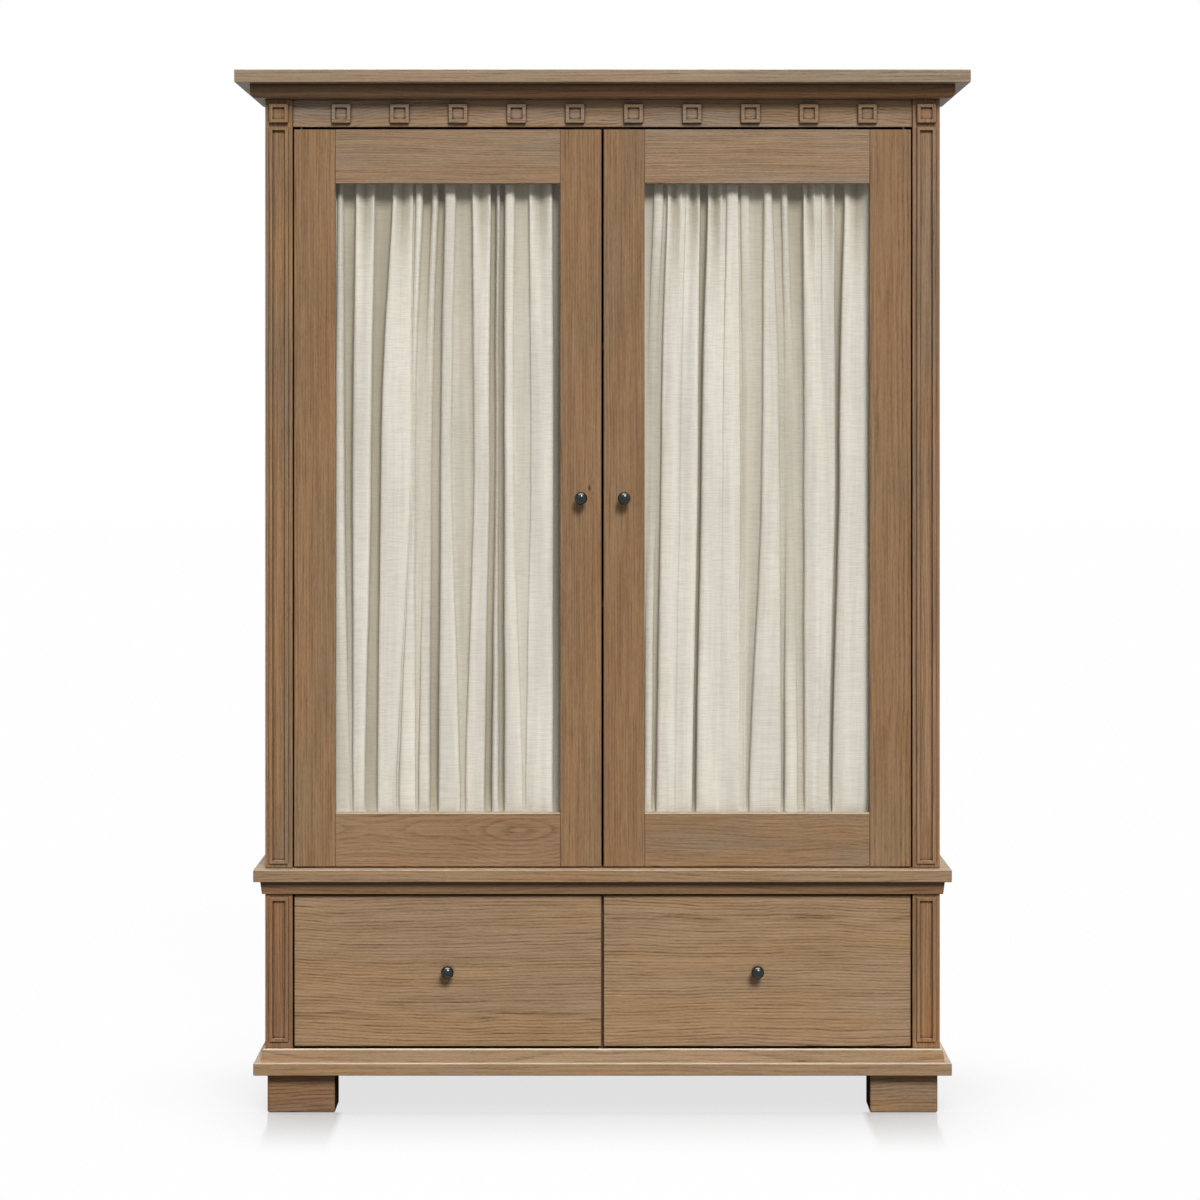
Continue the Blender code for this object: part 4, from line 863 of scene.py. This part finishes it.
# The gathered cloth as rows of corners, with its own width and length laid out as a UV map in metres
def clothCage(side):
    left, width = sightOpening(side)
    lowRod, highRod = (middleOf(side + "_door_" + end + "_rod") for end in ("bottom", "top"))
    seam, top = lowRod.z + curtain["pocket"], highRod.z - curtain["pocket"]
    rows, proudness, headness = [], [], []
    for height, opened, back in clothLine(lowRod.z, highRod.z):
        share = min(1.0, max(0.0, (height - seam) / (top - seam)))
        row = pleatRow(pleats[side], width, share)
        rows.append([Vector((left + across, lowRod.y + back + opened * (
            (1 - forward) * curtain["depth"] - curtain["forward"]), height)) for across, forward in row])
        proudness += [forward for across, forward in row]
        headness += [math.exp(min(0.0, height - top) / curtain["headShade"])] * len(row)
    middle = rows[len(rows) // 2]
    widths = [0.0]
    for first, second in zip(middle, middle[1:]):
        widths.append(widths[-1] + (second - first).length)
    lengths = [0.0]
    for first, second in zip(rows, rows[1:]):
        steps = sorted((b - a).length for a, b in zip(first, second))
        lengths.append(lengths[-1] + steps[len(steps) // 2])
    count = len(middle)
    mesh = bpy.data.meshes.new(side + "Cloth")
    faces = [(row * count + column, row * count + column + 1, (row + 1) * count + column + 1,
              (row + 1) * count + column)
             for row in range(len(rows) - 1) for column in range(count - 1)]
    mesh.from_pydata([corner for row in rows for corner in row], [], faces)
    # Masks for the painted shade in the folds and the painted shadow under the top rail
    for name, values in (("proud", proudness), ("head", headness)):
        mesh.attributes.new(name, 'FLOAT', 'POINT').data.foreach_set("value", values)
    layer = mesh.uv_layers.new(name="UVMap")
    for loop in mesh.loops:
        row, column = divmod(loop.vertex_index, count)
        layer.data[loop.index].uv = (widths[column], lengths[row])
    return mesh, (widths[-1], lengths[-1]), (seam, top)


def namedVector(tree, name):
    return addNode(tree, "GeometryNodeInputNamedAttribute", data_type='FLOAT_VECTOR', Name=name).outputs[0]


# Ends a geometry tree with real faces in one material
def finishTree(shape, material, result):
    whole = addNode(shape.id_data, "GeometryNodeRealizeInstances", Geometry=shape)
    feed(result[0], addNode(shape.id_data, "GeometryNodeSetMaterial", Geometry=whole.outputs[0],
                            Material=material).outputs[0])


# Fine gathers at the seams and a slight sway in the folds, on a smoothed cage
def buildGatherTree():
    inputs = (("Geometry", "Geometry"), ("Low Seam", "Float"), ("High Seam", "Float"),
              ("Gather Depth", "Float"), ("Gather Reach", "Float"), ("Sway", "Float"), ("Seed", "Float"),
              ("Smoothing", "Int"), ("Cloth", "Material"))
    tree, given, result = newGroup("gatherCloth", "GeometryNodeTree", inputs, [("Geometry", "Geometry")])
    smooth = addNode(tree, "GeometryNodeSubdivisionSurface", Mesh=given["Geometry"],
                     Level=given["Smoothing"])
    place = addNode(tree, "GeometryNodeInputPosition").outputs[0]
    laid = parted(namedVector(tree, "UVMap"))
    wave = times(swing(joined(laid[0], laid[1], given["Seed"]), (105.0, 16.0, 1.0)), 3.0)
    fades = []
    for name in ("Low Seam", "High Seam"):
        distance = maths("ABSOLUTE", minus(parted(place)[2], given[name]))
        fades.append(maths("EXPONENT", times(maths("DIVIDE", distance, given["Gather Reach"]), -1.0)))
    near = plus(*fades)
    gather = times(wave, near, given["Gather Depth"])
    drift = noise(vectors("ADD", place, joined(0.0, 0.0, given["Seed"])), (18.0, 0.0, 3.5)).node.outputs[1]
    sway = vectors("MULTIPLY", vectors("SUBTRACT", drift, (0.5, 0.5, 0.5)), (1.0, 0.5, 0.0))
    calm = minus(1.0, maths("MINIMUM", near, 1.0))
    sway = scaled(sway, times(calm, given["Sway"]))
    normal = addNode(tree, "GeometryNodeInputNormal").outputs[0]
    move = addNode(tree, "GeometryNodeSetPosition", Geometry=smooth.outputs[0],
                   Offset=vectors("ADD", scaled(normal, gather), sway))
    shade = addNode(tree, "GeometryNodeSetShadeSmooth", Geometry=move.outputs[0])
    finishTree(shade.outputs[0], given["Cloth"], result)
    return tree


# Runs a geometry tree on a piece and keeps the result as its plain mesh
def applyTree(piece, tree, values):
    modifier = piece.modifiers.new(tree.name, 'NODES')
    modifier.node_group = tree
    for item in tree.interface.items_tree:
        if item.in_out == 'INPUT' and item.name in values:
            modifier[item.identifier] = values[item.name]
    depsgraph = bpy.context.evaluated_depsgraph_get()
    mesh = bpy.data.meshes.new_from_object(piece.evaluated_get(depsgraph), depsgraph=depsgraph)
    piece.modifiers.clear()
    piece.data = mesh


linen = {
    "pale": (0.876, 0.812, 0.724),
    "slub": (0.735, 0.668, 0.570),
    "fold": (0.56, 0.53, 0.46),     # painted shade: how much of the tone is left in the deep folds, where one layer shows the dark behind it
    # Painted shadow of the top rail: the folds at the head darker and the whole head tinted
    "headFoldShade": (0.56, 0.52, 0.41),
    "railShadowTint": (0.96, 0.91, 0.78),
    "cool": (0.968, 0.976, 0.974),
    "threads": 1150.0,              # to the metre
}


def attribute(tree, name):
    return addNode(tree, "ShaderNodeAttribute", attribute_name=name).outputs["Fac"]


def linenMaterial(look):
    material, tree, surface = newMaterial("slubLinen")
    laid = addNode(tree, "ShaderNodeTexCoord").outputs["UV"]
    parts = parted(laid)
    turn = 2 * math.pi * look["threads"]
    weave = times(plus(maths("SINE", times(parts[0], turn)), maths("SINE", times(parts[1], turn))), 0.5)
    slub = ramp(noise(laid, (24.0, 330.0, 1.0), 3.0, 0.65), 0.40, 0.64)
    upright = ramp(noise(laid, (260.0, 14.0, 1.0)), 0.42, 0.68)
    cloudy = ramp(noise(laid, (11.0, 7.0, 1.0), 3.0), 0.35, 0.65)
    tone = plus(times(slub, 0.55), times(cloudy, 0.20), times(upright, 0.25))
    colour = mixColours(tone, look["pale"], look["slub"])
    cool = ramp(noise(laid, (9.0, 2.5, 1.0)), 0.40, 0.60)
    colour = mixColours(cool, colour, tinted(colour, look["cool"]))
    # Painted shade: soft upright bands lighter and darker, standing in for gentle undulations in the cloth
    colour = dimmed(colour, ramp(noise(laid, (42.0, 1.5, 1.0)), 0.30, 0.70, 0.90, 1.06))
    head = attribute(tree, "head")
    # Painted shade in the deep folds, darkest where the cloth lies furthest back, and darker near the head
    foldShadeShare = maths("SUBTRACT", 1.0, times(attribute(tree, "proud"), 1.1), clamp=True)
    colour = mixColours(foldShadeShare, colour, tinted(colour, mixColours(head, look["fold"], look["headFoldShade"])))
    # Painted shadow of the top rail across the head of the cloth
    colour = mixColours(maths("POWER", head, 3.0), colour, tinted(colour, look["railShadowTint"]))
    height = plus(times(slub, 0.8), times(weave, 0.25), times(upright, 0.4))
    principled(surface, height, 0.0004, 0.7, Base_Color=colour, Roughness=0.92, Specular_IOR_Level=0.2,
               Sheen_Weight=0.12, Sheen_Roughness=0.5)
    return material


def hangCurtains():
    tree = buildGatherTree()
    cloth = linenMaterial(linen)
    for number, side in enumerate(("left", "right")):
        mesh, flat, seams = clothCage(side)
        piece = newPiece(side + "_curtain_cloth", mesh, cloth)
        applyTree(piece, tree, {"Low Seam": seams[0], "High Seam": seams[1],
                                "Gather Depth": curtain["gather"], "Gather Reach": curtain["gatherReach"],
                                "Sway": curtain["sway"], "Seed": 3.7 * (number + 1),
                                "Smoothing": curtain["smoothing"], "Cloth": cloth})
        thick = piece.modifiers.new("clothThickness", 'SOLIDIFY')
        thick.thickness = curtain["thickness"]
        thick.offset = 0.0
        door = side + "_door"
        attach(piece, door)
        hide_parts(door + "_curtain")
        print(side, "curtain cut flat to %.3f by %.3f m" % flat)


hangCurtains()
print("curtains hung")


# Screws: one slotted head, set on a point for each screw, for what is screwed on the back and the inside

screw = {
    "radius": 0.0034,
    "sides": 20,
    "sink": 0.0030,
    "proud": 0.0003,
    "slotWidth": 0.0008,
    "slotDepth": 0.0008,
    "panelEdge": 0.0048,    # from the back panel's edge
    "panelPitch": 0.155,
    "rebate": 0.008,        # more below the panel's top edge
    "plate": 0.0025,        # the thickness of a hinge plate
    "plateInset": 0.006,
    "rodInset": 0.0035,     # past the end of a curtain rod
}


# Where the screws sit and which way each head faces
def screwPlaces():
    places = {"cabinet": [], "left_door": [], "right_door": [], "left_drawer": [], "right_drawer": []}
    low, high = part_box("back_panel")
    inset, pitch = screw["panelEdge"], screw["panelPitch"]
    rows = math.ceil((high.z - low.z) / pitch)
    for row in range(rows):
        z = low.z + (high.z - low.z) * (row + 0.5) / rows
        for x in (low.x + inset, high.x - inset):
            places["cabinet"].append(((x, high.y, z), (0, 1, 0)))
    columns = math.ceil((high.x - low.x) / pitch)
    for column in range(columns):
        x = low.x + (high.x - low.x) * (column + 0.5) / columns
        places["cabinet"].append(((x, high.y, high.z - inset - screw["rebate"]), (0, 1, 0)))
    for side in ("left", "right"):
        for level, up in (("lower", 1), ("upper", -1)):
            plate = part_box(side + "_" + level + "_hinge_pin")
            x = plate[1].x - screw["plateInset"] if side == "left" else plate[0].x + screw["plateInset"]
            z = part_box("waist_board")[1].z if up == 1 else plate[1].z - screw["plate"]
            places["cabinet"].append(((x, (plate[0].y + plate[1].y) / 2, z), (0, 0, up)))
        for end in ("bottom", "top"):
            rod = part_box(side + "_door_" + end + "_rod")
            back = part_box(side + "_door_inner_stile")[1].y
            for x in (rod[0].x - screw["rodInset"], rod[1].x + screw["rodInset"]):
                z = middleOf(side + "_door_" + end + "_rod").z
                places[side + "_door"].append(((x, back, z), (0, 1, 0)))
        handle = middleOf(side + "_door_knob")
        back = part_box(side + "_door_top_rail")[1].y
        places[side + "_door"].append(((handle.x, back, handle.z), (0, 1, 0)))
        handle = middleOf(side + "_drawer_knob")
        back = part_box(side + "_drawer_front")[1].y
        places[side + "_drawer"].append(((handle.x, back, handle.z), (0, 1, 0)))
    return places


def buildScrewTree():
    inputs = (("Geometry", "Geometry"), ("Head Radius", "Float"), ("Head Length", "Float"),
              ("Proud", "Float"), ("Slot Width", "Float"), ("Slot Depth", "Float"), ("Sides", "Int"),
              ("Seed", "Int"), ("Steel", "Material"))
    tree, given, result = newGroup("setScrews", "GeometryNodeTree", inputs, [("Geometry", "Geometry")])
    half = times(given["Head Length"], 0.5)
    head = addNode(tree, "GeometryNodeMeshCylinder", Vertices=given["Sides"], Radius=given["Head Radius"],
                   Depth=given["Head Length"])
    slot = addNode(tree, "GeometryNodeMeshCube", Size=joined(
        times(given["Head Radius"], 3.0), given["Slot Width"], times(given["Slot Depth"], 2.0)))
    raised = addNode(tree, "GeometryNodeTransform", Geometry=slot.outputs[0],
                     Translation=joined(0.0, 0.0, half))
    cut = addNode(tree, "GeometryNodeMeshBoolean", operation='DIFFERENCE', Mesh_1=head.outputs[0],
                  Mesh_2=raised.outputs[0])
    sunk = addNode(tree, "GeometryNodeTransform", Geometry=cut.outputs[0],
                   Translation=joined(0.0, 0.0, minus(given["Proud"], half)))
    aim = addNode(tree, "FunctionNodeAlignRotationToVector", axis='Z', Vector=namedVector(tree, "facing"))
    spin = addNode(tree, "FunctionNodeRandomValue", data_type='FLOAT', Seed=given["Seed"])
    spin.inputs[3].default_value = math.radians(360)
    angle = addNode(tree, "FunctionNodeEulerToRotation", Euler=joined(0.0, 0.0, spin.outputs[1]))
    spun = addNode(tree, "FunctionNodeRotateRotation", rotation_space='LOCAL', Rotation=aim.outputs[0],
                   Rotate_By=angle.outputs[0])
    placed = addNode(tree, "GeometryNodeInstanceOnPoints", Points=given["Geometry"],
                     Instance=sunk.outputs[0], Rotation=spun.outputs[0])
    finishTree(placed.outputs[0], given["Steel"], result)
    return tree


def driveScrews():
    tree = buildScrewTree()
    steel = metalMaterial("screwSteel", (0.22, 0.20, 0.17), 0.45, (700.0, 700.0, 700.0))
    total = 0
    for number, (body, places) in enumerate(screwPlaces().items()):
        mesh = bpy.data.meshes.new(body + "Screws")
        mesh.from_pydata([place for place, facing in places], [], [])
        facing = mesh.attributes.new("facing", 'FLOAT_VECTOR', 'POINT')
        for item, (place, towards) in zip(facing.data, places):
            item.vector = towards
        piece = newPiece(body + "_screws", mesh, steel)
        applyTree(piece, tree, {"Head Radius": screw["radius"], "Head Length": screw["sink"],
                                "Proud": screw["proud"], "Slot Width": screw["slotWidth"],
                                "Slot Depth": screw["slotDepth"], "Sides": screw["sides"],
                                "Seed": number + 5, "Steel": steel})
        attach(piece, body)
        total += len(places)
    return total


print("screws driven:", driveScrews())
